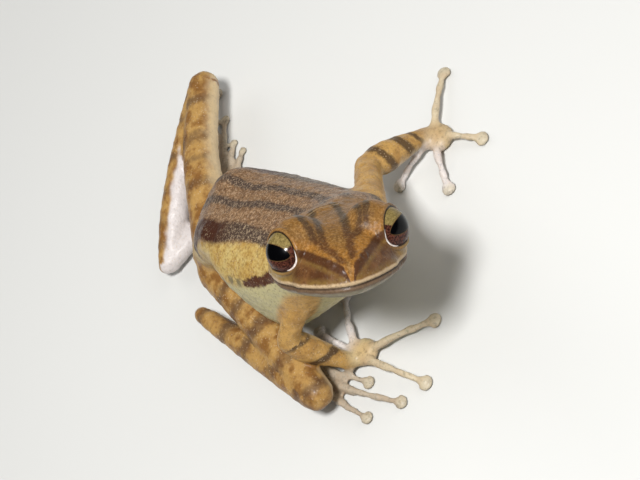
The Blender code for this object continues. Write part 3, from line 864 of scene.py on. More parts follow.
# The lids' rims keep the smooth profile that they were pressed to.
for side in SIDES:
    past, length = past_lids(points, side)
    rim = (1 - ramp(past, 6, 13)) * (1 - ramp(length, EYE_RADIUS + 1.1, EYE_RADIUS + 2.0))
    lift *= 1 - rim
points = points + lift[:, None] * normals
points[:, 2] = np.maximum(points[:, 2], 0.0)
print("deepest and highest relief:", lift.min().round(2), lift.max().round(2))

# %% [markdown]
# A marking follows the body, so each point of the skin learns where it is on the frog: how far along and
# round the trunk, where on the head, how far down a limb. From those places come smooth fields, such as
# the distance to the nearest dark line. They are stored as attributes, and the shader frays their edges.

# %% Places on the trunk
TRUNK_LEAN = math.radians(18)
POINTS_AT_ONCE = 20000


def trunk_place(points):
    """(along, left, up) in the trunk's sections: the section is the one whose plane passes nearest. The
    last two are turned by the lean of the back over the belly."""
    centres = trunk_rows[:, :3]
    axes = trunk_rows[:, 3:12].reshape(-1, 3, 3)
    lengths = np.linalg.norm(np.diff(centres, axis=0), axis=1)
    along = np.concatenate([[0], np.cumsum(lengths)])
    result = np.empty_like(points)
    for start in range(0, len(points), POINTS_AT_ONCE):
        rows = slice(start, start + POINTS_AT_ONCE)
        chunk = points[rows]
        away = chunk[:, None] - centres[None]
        score = np.abs(np.einsum("pkc,kc->pk", away, axes[:, :, 0])) + 0.02 * np.linalg.norm(away, axis=2)
        best = score.argmin(1)
        gap = away[np.arange(len(chunk)), best]
        left = (gap * axes[best, :, 1]).sum(1)
        rise = (gap * axes[best, :, 2]).sum(1)
        result[rows, 0] = along[best]
        result[rows, 1] = left * math.cos(TRUNK_LEAN) - rise * math.sin(TRUNK_LEAN)
        result[rows, 2] = left * math.sin(TRUNK_LEAN) + rise * math.cos(TRUNK_LEAN)
    return result


normals = normals_of(skin_mesh, points)
place = to_head(points)
trunk = trunk_place(points)
print("millimetres along the trunk, from vent to neck:", trunk[:, 0].max().round(1))

# %% [markdown]
# Each limb piece has dark crossbars, and a pale side that is folded away when the frog rests. A bar lies at
# a place along the piece, so its field is the distance to the nearest bar, and a point belongs to the piece
# whose tube is nearest.


# %% Bars and pale sides
def tube_gap(points, path, sizes):
    """How far down a bowed limb piece each point lies, and how far outside its tube. At the share t of its
    length, the piece is off its straight line by 1 less the square of 2t - 1, times its middle's bow."""
    start, bend, end = path
    run = end - start
    length = np.linalg.norm(run)
    t = np.clip((points - start) @ run / length**2, 0, 1)
    line = start + t[:, None] * run + (1 - (2 * t[:, None] - 1) ** 2) * (bend - (start + end) / 2)
    radius = np.interp(t, np.linspace(0, 1, len(sizes)), [max(size) for size in sizes])
    return (points - start) @ run / length, np.linalg.norm(points - line, axis=1) - radius


# Crossbars, by limb piece and side: where along it in millimetres, and half their width. The upper arms
# have none.
BARS = {
    ("forearm", "left"): [(2.9, 0.75), (7.7, 0.95), (10.9, 0.5)],
    ("forearm", "right"): [(1.6, 0.35), (7.4, 0.85)],
    ("thigh", "left"): [(10.0, 0.8), (15.0, 0.55), (19.6, 1.2), (27.8, 0.9)],
    ("thigh", "right"): [(6.4, 0.8), (10.8, 0.9), (16.6, 1.2), (25.1, 1.1), (32.7, 1.0)],
    ("shin", "left"): [(3.2, 0.5), (7.4, 0.6), (14.6, 0.7), (21.0, 0.5), (26.8, 0.6), (31.0, 0.4)],
    ("shin", "right"): [(2.0, 0.9), (9.5, 1.2), (17.7, 1.3), (24.3, 1.1), (31.6, 0.7)],
    ("tarsus", "left"): [(6.0, 0.6), (12.0, 0.6)],
    ("tarsus", "right"): [(6.0, 0.7), (12.0, 0.7)],
}

# The way that a limb piece's hidden, pale side faces, and how far the normal must agree for it to be pale.
# The left shin and tarsus turn that side to the camera, and keep only a brown strip along their back.
PALE_WAYS = {
    ("upper_arm", "left"): (unit((0.3, 0.2, -1.0)), (0.3, 0.8)),
    ("upper_arm", "right"): (unit((0.9, 0.1, -0.7)), (0.35, 0.85)),
    ("forearm", "left"): (unit((0.2, -0.6, -0.9)), (0.5, 0.9)),
    ("forearm", "right"): (unit((1.0, 0.2, -0.4)), (0.4, 0.85)),
    ("thigh", "left"): (unit((0.38, -0.74, -0.3)), (0.15, 1.0)),
    ("thigh", "right"): (unit((0.8, -0.2, -0.6)), (0.35, 0.85)),
    ("shin", "left"): (unit((0.38, -0.74, -0.56)), (-0.55, -0.3)),
    ("shin", "right"): (unit((0.5, 0.0, -1.0)), (0.25, 0.75)),
    ("tarsus", "left"): (unit((0.3, -0.9, -0.1)), (-0.6, -0.25)),
    ("tarsus", "right"): (unit((0.4, 0.0, -1.0)), (0.0, 0.5)),
}
SILVER = (("shin", "left"), ("tarsus", "left"))
# A bar runs aslant: it lies this many millimetres nearer the joint above, where the skin faces that way.
SLANTS = {("forearm", "left"): (1.1, 0.25, 0.45), ("forearm", "right"): (-1.6, -0.3, -0.6)}
FOREARM_CRISPNESS = 2.2

# A distance beyond the reach of every mask.
FAR = 5.0
limb = np.zeros(len(points))
bar = np.full(len(points), FAR)
pale = np.zeros(len(points))
silver = np.zeros(len(points))
arm = np.zeros(len(points))
nearest = np.full(len(points), 1e9)
for piece in LIMBS:
    for side in SIDES:
        down, gap = tube_gap(points, limb_path(piece, side), limb_sizes(piece, side))
        reach = 1 - ramp(gap, 0.5, 1.3)
        limb = np.maximum(limb, reach)
        mine = (gap < nearest) & (reach > 0)
        edge = np.full(len(points), FAR)
        slanted = down + normals @ np.array(SLANTS.get((piece, side), (0.0, 0.0, 0.0)))
        for middle, half in BARS.get((piece, side), []):
            edge = np.minimum(edge, np.abs(slanted - middle) - half)
        if piece == "forearm":
            edge = edge * FOREARM_CRISPNESS
        bar = np.where(mine, edge, bar)
        way, (low, high) = PALE_WAYS[piece, side]
        # The knee itself stays brown, so the pale side starts a little below it.
        start = ramp(down, 2.0, 5.0) if piece == "shin" else 1.0
        pale = np.where(mine, ramp(normals @ way, low, high) * start, pale)
        silver = np.where(mine, float((piece, side) in SILVER), silver)
        arm = np.where(mine, float(piece in ("upper_arm", "forearm")), arm)
        nearest = np.minimum(nearest, gap)
print("points on limbs and on silvery sides:", int((limb > 0.5).sum()), int(silver.sum()))

# %% [markdown]
# Digits are paler than limbs, and hands, soles and discs have tints of their own. Each gets a mask that
# fades a millimetre or so away from the digit's path, so that no tint ends in a step.

# %% Masks of hands and feet
# The inner fingers are whitish: the numbers of those digits.
WHITE_FINGERS = {"left": (0, 1), "right": (0, 1)}
digit = np.zeros(len(points))
toe = np.zeros(len(points))
white = np.zeros(len(points))
tip_gap = np.full(len(points), 9.0)
for number, (side, kind, path, disc) in enumerate(digits):
    line = smooth_rows(path, 24)
    gap = np.min([np.linalg.norm(points - spot, axis=1) for spot in line[4:]], axis=0)
    reach = 1 - ramp(gap, 1.3, 2.2)
    digit = np.maximum(digit, reach)
    toe = np.maximum(toe, reach if kind == "toe" else 0 * reach)
    if kind == "finger" and number % len(FINGER_TIPS[side]) in WHITE_FINGERS[side]:
        white = np.maximum(white, reach)
    tip_gap = np.minimum(tip_gap, np.linalg.norm(points - line[-1], axis=1))

# The backs of the hands and the soles carry on the tints of their digits.
hand = np.zeros(len(points))
for side in SIDES:
    hand = np.maximum(hand, 1 - ramp(np.linalg.norm(points - PALM_AT[side], axis=1), 0.8, 4.4))
    ankle = np.array(ANKLE[side])
    reaches = np.linspace(1.0, 7.0, 8)
    sole_gap = nearest_to(points, [ankle * [1, 1, 0.5] + TOE_AHEAD[side] * reach for reach in reaches])
    sole = (1 - ramp(sole_gap, 2.4, 3.4)) * (1 - ramp(points[:, 2], 2.0, 3.0))
    toe = np.maximum(toe, sole)
    digit = np.maximum(digit, sole)
digit = np.maximum(digit, hand)
limb = limb * (1 - hand)
print("points on digits:", int((digit > 0.5).sum()))

# %% [markdown]
# The species is named for the four dark lines on its back. They can't be painted in a flat texture without
# stretching on a bent back. As distances in body places they stay parallel to the spine. The head's lines
# branch, so they are chains of straight runs seen from above, whose corners the fraying hides.

# %% Lines, bands and spots
# The four lines of the back are two pairs: how far a pair lies from the middle, and half its width. The
# head's lines are chains of (ahead, left) spots.
MEDIAN_LINE = (1.95, 0.75)
SIDE_BAND = (7.2, 1.65)
HEAD_LINES = [
    [(3.0, -7.4), (8.0, -5.4), (12.5, -4.5), (15.2, -3.3), (18.9, -1.6), (20.8, -0.8)],
    [(4.5, -2.4), (9.0, -2.7), (13.6, -2.4), (16.5, -2.3)],
    [(2.5, 1.2), (6.0, 1.5), (10.0, 1.7), (13.8, 1.4), (17.0, 1.2), (20.4, 0.9)],
    [(6.5, 4.6), (10.0, 3.6), (13.0, 3.9), (15.0, 3.2), (16.6, 1.6)],
    [(3.0, 6.3), (8.6, 5.0), (12.0, 5.2), (14.6, 4.3)],
]
HEAD_LINE_HALF = 0.56

head = ramp(place[:, 0], -0.6, 1.6) * (np.abs(place[:, 1]) < 13) * ramp(place[:, 2], -9, -8)
head = head * (1 - limb) * (1 - digit)
middle = trunk[:, 1] + 0.35 * np.sin(trunk[:, 0] / 3.1) + 0.2 * np.sin(trunk[:, 0] / 1.3)
side_wave = 0.3 * np.sin(trunk[:, 0] / 2.4 + 1)
median = np.abs(np.abs(middle) - MEDIAN_LINE[0]) - MEDIAN_LINE[1] + 3 * ramp(trunk[:, 2], 4, 2)
band = np.abs(np.abs(trunk[:, 1]) - SIDE_BAND[0] + side_wave) - SIDE_BAND[1]
band += 0.6 * ramp(trunk[:, 0], 24, 36)
band += 4 * ramp(-trunk[:, 2], -3.2, -1.5) + 3 * ramp(-trunk[:, 0], -15.0, -12.0)
head_line = np.min([chain_distance(place[:, :2], chain) for chain in HEAD_LINES], axis=0) - HEAD_LINE_HALF
head_line += 3 * ramp(-place[:, 2], -1.0, 0.5)
# Behind the dark streak of the flank, spots: along, height above the belly's edge, and radius.
FLANK_SPOTS = [(31.2, 0.1, 0.75), (28.8, 0.6, 0.7), (25.6, 0.1, 0.75), (22.3, 0.7, 0.6), (18.6, 0.4, 0.6)]
spots = np.full(len(points), FAR)
for spot_along, spot_height, radius in FLANK_SPOTS:
    gap = np.hypot(trunk[:, 0] - spot_along, trunk[:, 2] - spot_height)
    spots = np.minimum(spots, gap - radius)
print("points on the head:", int((head > 0.5).sum()))

# %% [markdown]
# The last fields say how far a point lies outside the lids' edge and below the line from eye to snout. All
# of them are then stored in the mesh, where the finish can read them by name. Painting by hand would do the
# same once, and fields can be changed and worked out again.

# %% Storing the fields
eye_gap = np.full(len(points), 9.0)
for side in SIDES:
    past, length = past_lids(points, side)
    rim = np.radians(past) * EYE_RADIUS
    eye_gap = np.where((length < EYE_RADIUS + 1.5) & (rim < eye_gap), rim, eye_gap)

# How far a point of the head lies below the line from the eye to the snout, whose height and half width
# are given by the place ahead.
CANTHUS_HEIGHTS = [(4, 0.5), (9, 1.4), (15.6, 3.0), (20.2, 1.75), (22.4, 0.6)]
CANTHUS_HALF_WIDTHS = [(9, 8), (15.6, 5.9), (19, 2.9), (22, 0.2)]
canthus_height = np.interp(place[:, 0], *np.array(CANTHUS_HEIGHTS).T)
canthus_out = np.interp(place[:, 0], *np.array(CANTHUS_HALF_WIDTHS).T)
below_canthus = canthus_height - place[:, 2] + 0.35 * (np.abs(place[:, 1]) - canthus_out)

# At the tip of the snout the gold runs on down to the lip as a narrow strip.
below_canthus -= 2.4 * bell(place[:, 1], 0.45) * ramp(place[:, 0], 20.0, 21.6)

fields = {
    "along": trunk[:, 0],
    "across": trunk[:, 1],
    "belly": trunk[:, 2],
    "limb": limb,
    "bar": bar,
    "pale": pale,
    "silver": silver,
    "arm": arm,
    "spots": spots,
    "hand": hand,
    "white": white,
    "crease": crease,
    "digit": digit,
    "toe": toe,
    "tip": tip_gap,
    "head": head,
    "median": median,
    "band": band,
    "head_line": head_line,
    "lip": mouth_height(place),
    "loreal": below_canthus,
    "head_ahead": place[:, 0],
    "lid": eye_gap,
}


def store_fields(mesh, fields):
    """Stores each row of values under its name, one value for each point of the mesh."""
    for name, values in fields.items():
        store = mesh.attributes.new(name, "FLOAT", "POINT")
        store.data.foreach_set("value", values.astype(np.float32))


write_points(skin_mesh, points)
store_fields(skin_mesh, fields)
print("fields stored:", len(fields))

# %% [markdown]
# The finishes are node networks, because a pattern worked out at each point stays sharp however near the
# camera comes. A few helpers keep them readable: one makes a sum or a product, one a soft edge, one a blend
# of two colours. Each adds its nodes to tree, the network that was opened last, and gives back an output.


# %% Node helpers
def feed(target, value):
    """Links value if it is a node's output, or else sets it on the socket."""
    if isinstance(value, bpy.types.NodeSocket):
        tree.links.new(value, target)
    else:
        target.default_value = value


def math_node(operation, a, b=0.0):
    """That operation of a Math node, on a and b."""
    node = tree.nodes.new("ShaderNodeMath")
    node.operation = operation
    feed(node.inputs[0], a)
    feed(node.inputs[1], b)
    return node.outputs[0]


plus = partial(math_node, "ADD")
minus = partial(math_node, "SUBTRACT")
times = partial(math_node, "MULTIPLY")
divide = partial(math_node, "DIVIDE")
power = partial(math_node, "POWER")
larger = partial(math_node, "MAXIMUM")
absolute = partial(math_node, "ABSOLUTE")


def soft_edge(value, low, high):
    """0 where value is under low, 1 over high, with a smooth step between. Low may be over high."""
    node = tree.nodes.new("ShaderNodeMapRange")
    node.interpolation_type = "SMOOTHSTEP"
    feed(node.inputs["Value"], value)
    if low <= high:
        bounds = (low, high, 0.0, 1.0)
    else:
        bounds = (high, low, 1.0, 0.0)
    for name, bound in zip(("From Min", "From Max", "To Min", "To Max"), bounds):
        node.inputs[name].default_value = bound
    return node.outputs["Result"]


def blend(share, a, b):
    """Colour a where share is 0 and colour b where it is 1."""
    node = tree.nodes.new("ShaderNodeMix")
    node.data_type = "RGBA"
    feed(node.inputs["Factor"], share)
    for label, colour in (("A", a), ("B", b)):
        feed(node.inputs[label], colour if isinstance(colour, bpy.types.NodeSocket) else (*colour, 1.0))
    return node.outputs["Result"]


def tint(base, colour, mask, strength=1.0):
    """The base colour with another laid over it, by the mask times the strength."""
    return blend(mask if strength == 1.0 else times(mask, strength), base, colour)


def field(name):
    """The value of that field of the mesh."""
    node = tree.nodes.new("ShaderNodeAttribute")
    node.attribute_name = name
    return node.outputs["Fac"]


def noise(where, size, detail=3.0, rough=0.55):
    """A noise whose patches are about size millimetres across."""
    node = tree.nodes.new("ShaderNodeTexNoise")
    feed(node.inputs["Vector"], where)
    node.inputs["Scale"].default_value = 1 / (size * MM)
    node.inputs["Detail"].default_value = detail
    node.inputs["Roughness"].default_value = rough
    return node.outputs["Fac"]


def cells(where, per_metre, feature="F1"):
    """A node of scattered cells, that many to the metre, which puts out the distance to their middles."""
    node = tree.nodes.new("ShaderNodeTexVoronoi")
    node.feature = feature
    feed(node.inputs["Vector"], where)
    feed(node.inputs["Scale"], per_metre)
    return node


# %% Helpers for groups and materials
def group_tree(name, inputs, outputs):
    """An empty node group. An input with a value is a number, and one without is a vector."""
    group = bpy.data.node_groups.new(name, "ShaderNodeTree")
    for label, value in inputs.items():
        kind = "NodeSocketVector" if value is None else "NodeSocketFloat"
        made = group.interface.new_socket(name=label, in_out="INPUT", socket_type=kind)
        if value is not None:
            made.default_value = value
    for label in outputs:
        group.interface.new_socket(name=label, in_out="OUTPUT", socket_type="NodeSocketFloat")
    return group, group.nodes.new("NodeGroupInput").outputs, group.nodes.new("NodeGroupOutput").inputs


def use_group(group, **values):
    """The outputs of a group placed in the network, with a value for each input by its name."""
    node = tree.nodes.new("ShaderNodeGroup")
    node.node_tree = group
    for label, value in values.items():
        feed(node.inputs[label.capitalize()], value)
    return node.outputs


def new_material(name):
    """A material, its network, its shader's inputs, and the output that tells the place on the object."""
    material = bpy.data.materials.new(name)
    material.use_nodes = True
    network = material.node_tree
    where = network.nodes.new("ShaderNodeTexCoord").outputs["Object"]
    return material, network, network.nodes["Principled BSDF"].inputs, where


def set_inputs(inputs, values):
    """Sets constant values on a node's inputs, by their names."""
    for name, value in values.items():
        inputs[name].default_value = value


# %% [markdown]
# Three effects are node groups, built once and placed wherever they are needed. On a live frog no line has
# a clean border, brown lies in blotches of two sizes, and the skin is covered with small domes. A group for
# each keeps that look the same on back, head and limbs.

# %% Shared effects
# Frayed edge: a signed distance in millimetres, pushed in and out by noise, then cut to a mask.
FRAY_SIZE = 1.3
inputs = {"Vector": None, "Distance": 0.0, "Fray": 0.5, "Softness": 0.15}
tree, given, made = group_tree("Frayed edge", inputs, ["Mask"])
frayed = tree
wander = minus(noise(given["Vector"], FRAY_SIZE, 5.0, 0.7), 0.5)
pushed = plus(given["Distance"], times(wander, given["Fray"]))
feed(made["Mask"], soft_edge(divide(pushed, given["Softness"]), 1.0, -1.0))

# Mottle: blotches of one size inside larger ones, as a mask from 0 to 1.
BLOTCH_SIZES = (2.6, 0.55)
BROAD_SHARE = 0.55
inputs = {"Vector": None, "Level": 0.5, "Spread": 0.1}
tree, given, made = group_tree("Mottle", inputs, ["Mask", "Fine"])
mottle = tree
broad = noise(given["Vector"], BLOTCH_SIZES[0], 2.0)
small = noise(given["Vector"], BLOTCH_SIZES[1], 3.0, 0.65)
mixed = plus(times(broad, BROAD_SHARE), times(small, 1 - BROAD_SHARE))
above_level = divide(minus(mixed, given["Level"]), given["Spread"])
feed(made["Mask"], soft_edge(above_level, -1.0, 1.0))
feed(made["Fine"], small)

# Granules: the small domes that cover a frog's skin, as a height and as masks of specks and dots.
DOME_SIZE = 0.42
SPECK_SIZE = 0.75
DOT_SIZE = 0.46
inputs = {"Vector": None, "Size": 1.0}
tree, given, made = group_tree("Granules", inputs, ["Height", "Speckle", "Dots"])
granules = tree
domes = cells(given["Vector"], divide(1 / (DOME_SIZE * MM), given["Size"]), "SMOOTH_F1")
domes.inputs["Smoothness"].default_value = 0.35
grain = noise(given["Vector"], 0.22, 2.0)
feed(made["Height"], plus(minus(1.0, domes.outputs["Distance"]), times(grain, 0.5)))
speck_gap = cells(given["Vector"], 1 / (SPECK_SIZE * MM)).outputs["Distance"]
feed(made["Speckle"], soft_edge(speck_gap, 0.24, 0.14))
dot_gap = cells(given["Vector"], 1 / (DOT_SIZE * MM)).outputs["Distance"]
feed(made["Dots"], soft_edge(dot_gap, 0.34, 0.16))
print("groups:", [group.name for group in bpy.data.node_groups])

# %% [markdown]
# The skin is painted from the ground up, as a painter of museum models does: brown back, golden flank and
# yellow-white belly first, then the head's own zones, the barred limbs and pale fingers, and the dark
# lines over them. Each layer is a blend by a mask, and nearly every mask has a frayed edge. The colours
# were judged against the photograph, and are given as amounts of red, green and blue light.

# %% Colours of the skin
BACK = (0.165, 0.085, 0.038)
BACK_LIGHT = (0.25, 0.143, 0.070)
BACK_LINE = (0.056, 0.038, 0.030)
BACK_DOT = (0.45, 0.33, 0.220)
SIDE_BAND_BROWN = (0.052, 0.018, 0.010)
SIDE_BAND_GREY = (0.058, 0.036, 0.027)
STREAK_BROWN = (0.075, 0.027, 0.013)
FLANK = (0.39, 0.235, 0.058)
FLANK_PALE = (0.49, 0.37, 0.140)
FLANK_SPOT = (0.115, 0.100, 0.055)
FLANK_GRAIN = (0.30, 0.165, 0.045)
BELLY = (0.44, 0.39, 0.205)
SPECK = (0.10, 0.07, 0.035)
# Pale flecks of the skin, and the painted highlight along the fold behind the crown.
FLECK_AND_HIGHLIGHT = (0.50, 0.38, 0.24)
DUST = (0.03, 0.018, 0.01)
CROWN = (0.25, 0.120, 0.028)
CROWN_DARK = (0.15, 0.076, 0.022)
CROWN_LINE = (0.044, 0.033, 0.020)
CROWN_LINE_FRONT = (0.075, 0.030, 0.012)
CROWN_DOT = (0.090, 0.032, 0.010)
CROWN_GRAIN = (0.37, 0.215, 0.080)
CANTHUS_GOLD = (0.27, 0.120, 0.022)
LOREAL = (0.070, 0.027, 0.010)
CHEEK = (0.150, 0.066, 0.022)
OLIVE = (0.23, 0.140, 0.034)
UNDER_EYE = (0.36, 0.245, 0.080)
LIP_CREAM = (0.47, 0.34, 0.20)
LIP_BROWN = (0.135, 0.085, 0.050)
MOUTH_GROOVE_SHADE = (0.035, 0.020, 0.013)
SHADED_THROAT = (0.22, 0.185, 0.110)
LID_TAN = (0.26, 0.140, 0.045)
LID_RIM_SHADE = (0.02, 0.012, 0.008)
LIMB = (0.215, 0.098, 0.026)
LIMB_LIGHT = (0.41, 0.240, 0.075)
ARM_GOLD = (0.56, 0.33, 0.095)
BAR = (0.105, 0.058, 0.032)
ARM_BAR = (0.048, 0.026, 0.015)
CREAM = (0.60, 0.46, 0.27)
LILAC = (0.62, 0.57, 0.55)
FINGER = (0.57, 0.48, 0.33)
FINGER_BLOTCH = (0.32, 0.2, 0.11)
HAND = (0.50, 0.35, 0.165)
WHITISH = (0.70, 0.65, 0.62)
TOE = (0.44, 0.37, 0.28)
DISC = (0.50, 0.44, 0.32)

skin_material, tree, skin_inputs, where = new_material("frog_skin")


def edge_mask(distance, fray, softness):
    """1 where the distance is below 0, with its edge frayed and softened by those millimetres."""
    return use_group(frayed, vector=where, distance=distance, fray=fray, softness=softness)["Mask"]


def patches(level, spread):
    """1 in about half of the blotches. A lower level lets more of them in."""
    return use_group(mottle, vector=where, level=level, spread=spread)["Mask"]


grains = use_group(granules, vector=where, size=1.0)
speckle = grains["Speckle"]
salt = noise(where, 0.36, 3.0, 0.8)
pepper_share = times(soft_edge(salt, 0.49, 0.40), 0.6)
salt_share = times(soft_edge(salt, 0.51, 0.61), 0.55)
print("nodes with the shared masks:", len(tree.nodes))

# %% Back, flank and belly
# Heights are above the belly's edge: where the flank meets the back, and where the belly starts.
FLANK_TOP = 5.8
BELLY_TOP = -0.4

# The back has streaks drawn out along the body, from a noise read in body places.
along = field("along")
body_place = tree.nodes.new("ShaderNodeCombineXYZ")
feed(body_place.inputs["X"], times(along, 0.5 * MM))
feed(body_place.inputs["Y"], times(field("across"), MM))
streaks = noise(body_place.outputs["Vector"], 0.9, 4.0, 0.65)
back = blend(soft_edge(streaks, 0.36, 0.64), BACK, BACK_LIGHT)
back = tint(back, BACK_LINE, speckle, 0.38)
back = tint(back, BACK_LINE, pepper_share)
back = tint(back, BACK_LINE, edge_mask(field("median"), 1.6, 0.35), 0.95)
back = tint(back, BACK_DOT, salt_share)

flank = blend(patches(0.5, 0.14), FLANK, FLANK_PALE)
flank = tint(flank, FLANK_GRAIN, soft_edge(salt, 0.48, 0.36), 0.6)
flank = tint(flank, SPECK, speckle, 0.1)
belly_height = field("belly")
colour = tint(back, flank, edge_mask(minus(belly_height, FLANK_TOP), 2.2, 0.5))

# The dark band at the back's side is redder behind, and grey with pale flecks in front.
band_front = blend(larger(salt_share, times(speckle, 0.25)), SIDE_BAND_GREY, FLECK_AND_HIGHLIGHT)
band_tint = blend(soft_edge(along, 23.5, 29.5), SIDE_BAND_BROWN, band_front)
colour = tint(colour, band_tint, edge_mask(field("band"), 1.9, 0.4))
belly = blend(times(speckle, 0.35), BELLY, SPECK)
colour = tint(colour, belly, edge_mask(minus(belly_height, BELLY_TOP), 2.4, 0.6))
print("nodes with the trunk's paint:", len(tree.nodes))

# %% Streak of the flank
# An irregular dark streak runs from the mouth's corner back along the flank, and narrows on its way. How
# far a point lies outside it is the larger of two distances, across its edge and past its rear end.
STREAK_HEIGHT = 0.15
STREAK_HALF = 0.4
STREAK_SWELL = 0.7
STREAK_END = 32.6
swell = times(soft_edge(along, 30.0, 41.0), STREAK_SWELL)
across_streak = minus(absolute(minus(belly_height, STREAK_HEIGHT)), plus(STREAK_HALF, swell))
streak = larger(across_streak, minus(STREAK_END, along))
colour = tint(colour, STREAK_BROWN, edge_mask(streak, 2.2, 0.25))
colour = tint(colour, FLANK_SPOT, edge_mask(field("spots"), 1.6, 0.35), 0.75)
print("nodes with the streak:", len(tree.nodes))

# %% [markdown]
# On the head the brown crown is cut off sharply by a dark line from the eye to the snout. Under that line
# the cheek is dark with an olive streak, and tan below the eye, and both lips are edged. The zones are cut
# by heights above the mouth and above that line, which are stored fields, so they stay in place on the
# turned head.

# %% Crown and cheek
over_lip = field("lip")
snout_way = field("head_ahead")
under_canthus = field("loreal")

crown = blend(patches(0.5, 0.14), CROWN, CROWN_DARK)
crown = tint(crown, CANTHUS_GOLD, soft_edge(under_canthus, -2.4, -0.6))
crown = tint(crown, CROWN_GRAIN, salt_share, 0.7)
line_tint = blend(soft_edge(snout_way, 11.0, 17.0), CROWN_LINE, CROWN_LINE_FRONT)
crown = tint(crown, line_tint, edge_mask(field("head_line"), 1.5, 0.34), 0.88)
crown = tint(crown, CROWN_GRAIN, salt_share, 0.35)
crown = tint(crown, CROWN_LINE_FRONT, pepper_share, 0.45)
crown = tint(crown, CROWN_DOT, speckle, 0.4)

cheek = blend(patches(0.5, 0.1), CHEEK, LOREAL)
# Below the dark line from eye to snout runs an olive streak, and under the eye the cheek is tan.
off_olive = absolute(minus(under_canthus, 1.5))
olive = times(soft_edge(off_olive, 0.8, 0.0), patches(0.44, 0.2))
cheek = tint(cheek, OLIVE, olive, 0.45)
cheek = tint(cheek, UNDER_EYE, soft_edge(snout_way, 16.5, 12.5), 0.75)
near_lip = times(soft_edge(over_lip, 1.9, 0.9), patches(0.47, 0.16))
cheek = tint(cheek, OLIVE, near_lip, 0.6)
cheek = tint(cheek, LOREAL, soft_edge(under_canthus, 1.5, 0.9))
print("nodes with crown and cheek:", len(tree.nodes))

# %% Lips, throat and lids
face = tint(crown, cheek, edge_mask(times(under_canthus, -1.0), 0.5, 0.2))
face = tint(face, LIP_CREAM, edge_mask(minus(over_lip, 0.74), 0.4, 0.18))
face = tint(face, LIP_BROWN, soft_edge(over_lip, 0.12, -0.05))
# Below the lower lip, the throat's own pale colour is darkened with painted shade.
face = tint(face, SHADED_THROAT, edge_mask(plus(over_lip, 0.75), 0.5, 0.25))
# A thin dark line along the mouth is painted shade in its groove.
face = tint(face, MOUTH_GROOVE_SHADE, soft_edge(absolute(over_lip), 0.2, 0.06), 0.75)
colour = tint(colour, face, field("head"))

# A thin pale line along the fold behind the crown is a painted highlight.
crease_highlight = soft_edge(absolute(minus(field("crease"), 0.32)), 0.10, 0.03)
crease_top = soft_edge(belly_height, 3.5, 5.0)
colour = tint(colour, FLECK_AND_HIGHLIGHT, times(crease_highlight, times(crease_top, 0.35)))
lid_gap = field("lid")
colour = tint(colour, LID_TAN, soft_edge(lid_gap, 0.45, 0.2), 0.12)
# A thin dark line at the lids' rim, where the skin meets the eyeball, is painted shade.
colour = tint(colour, LID_RIM_SHADE, soft_edge(lid_gap, 0.10, 0.0))
print("nodes with the head:", len(tree.nodes))

# %% [markdown]
# The limbs are golden brown with dark crossbars, and the sides that are folded away at rest are whitish.
# Fingers are pale, toes greyer. A bar of one strength all along would look printed, so a broad noise
# fades the legs' bars in and out. The arms' bars, which are darker in life, keep one strength.

# %% Limbs and digits
leg = blend(soft_edge(noise(where, 2.2, 3.0, 0.5), 0.34, 0.62), LIMB, LIMB_LIGHT)
arm_mask = field("arm")
leg = tint(leg, ARM_GOLD, arm_mask, 0.4)
bar_fade = soft_edge(noise(where, 3.2, 2.0), 0.30, 0.56)
bar_share = larger(plus(0.34, times(bar_fade, 0.46)), times(arm_mask, 0.88))
leg = tint(leg, blend(arm_mask, BAR, ARM_BAR), times(edge_mask(field("bar"), 2.6, 0.85), bar_share))
leg_grain = plus(times(arm_mask, 0.25), 0.2)
leg = tint(leg, SPECK, times(pepper_share, leg_grain))
leg = tint(leg, SPECK, times(speckle, leg_grain))
leg = tint(leg, blend(field("silver"), CREAM, LILAC), field("pale"))
colour = tint(colour, leg, field("limb"))

finger = blend(field("toe"), FINGER, TOE)
finger = tint(finger, WHITISH, field("white"))
finger = tint(finger, HAND, field("hand"))
finger = tint(finger, FINGER_BLOTCH, patches(0.52, 0.1), 0.35)
finger = tint(finger, DISC, soft_edge(field("tip"), 2.3, 1.2), 0.75)
colour = tint(colour, finger, field("digit"))
print("nodes with limbs and digits:", len(tree.nodes))

# %% [markdown]
# Fine light and dark grain lies over everything, weaker on the limbs and on the head, and the small domes
# of the skin raise a bump that breaks up the highlights. A frog is moist rather than wet, so the gloss is
# uneven and low: a rough skin with a very thin, smoother coat.

# %% Grain and gloss
fine = use_group(mottle, vector=where, level=0.5, spread=0.1)["Fine"]
dust = soft_edge(fine, 0.62, 0.3)
dusty = tint(colour, DUST, dust)
off_limbs = minus(1.0, times(field("limb"), 0.65))
colour = tint(colour, dusty, times(times(dust, 0.42), off_limbs))
gathered = soft_edge(noise(where, 1.6, 3.0, 0.6), 0.38, 0.62)
off_head = minus(1.0, times(field("head"), 0.82))
colour = tint(colour, FLECK_AND_HIGHLIGHT, times(times(grains["Dots"], times(gathered, 0.5)), off_head))
feed(skin_inputs["Base Color"], colour)

uneven_gloss = soft_edge(noise(where, 1.1, 3.0), 0.3, 0.7)
feed(skin_inputs["Roughness"], plus(0.30, times(uneven_gloss, 0.22)))
set_inputs(skin_inputs, {"Specular IOR Level": 0.20, "Coat Weight": 0.07, "Coat Roughness": 0.22})
bump = tree.nodes.new("ShaderNodeBump")
set_inputs(bump.inputs, {"Strength": 0.55, "Distance": 0.09 * MM})
feed(bump.inputs["Height"], grains["Height"])
feed(skin_inputs["Normal"], bump.outputs["Normal"])
print("nodes of the finished skin:", len(tree.nodes))


# %% The finished skin
def dressed(name, mesh, material):
    """A smooth piece of that mesh and material, in the scene."""
    mesh.materials.clear()
    mesh.materials.append(material)
    mesh.shade_smooth()
    return add_object(name, mesh)


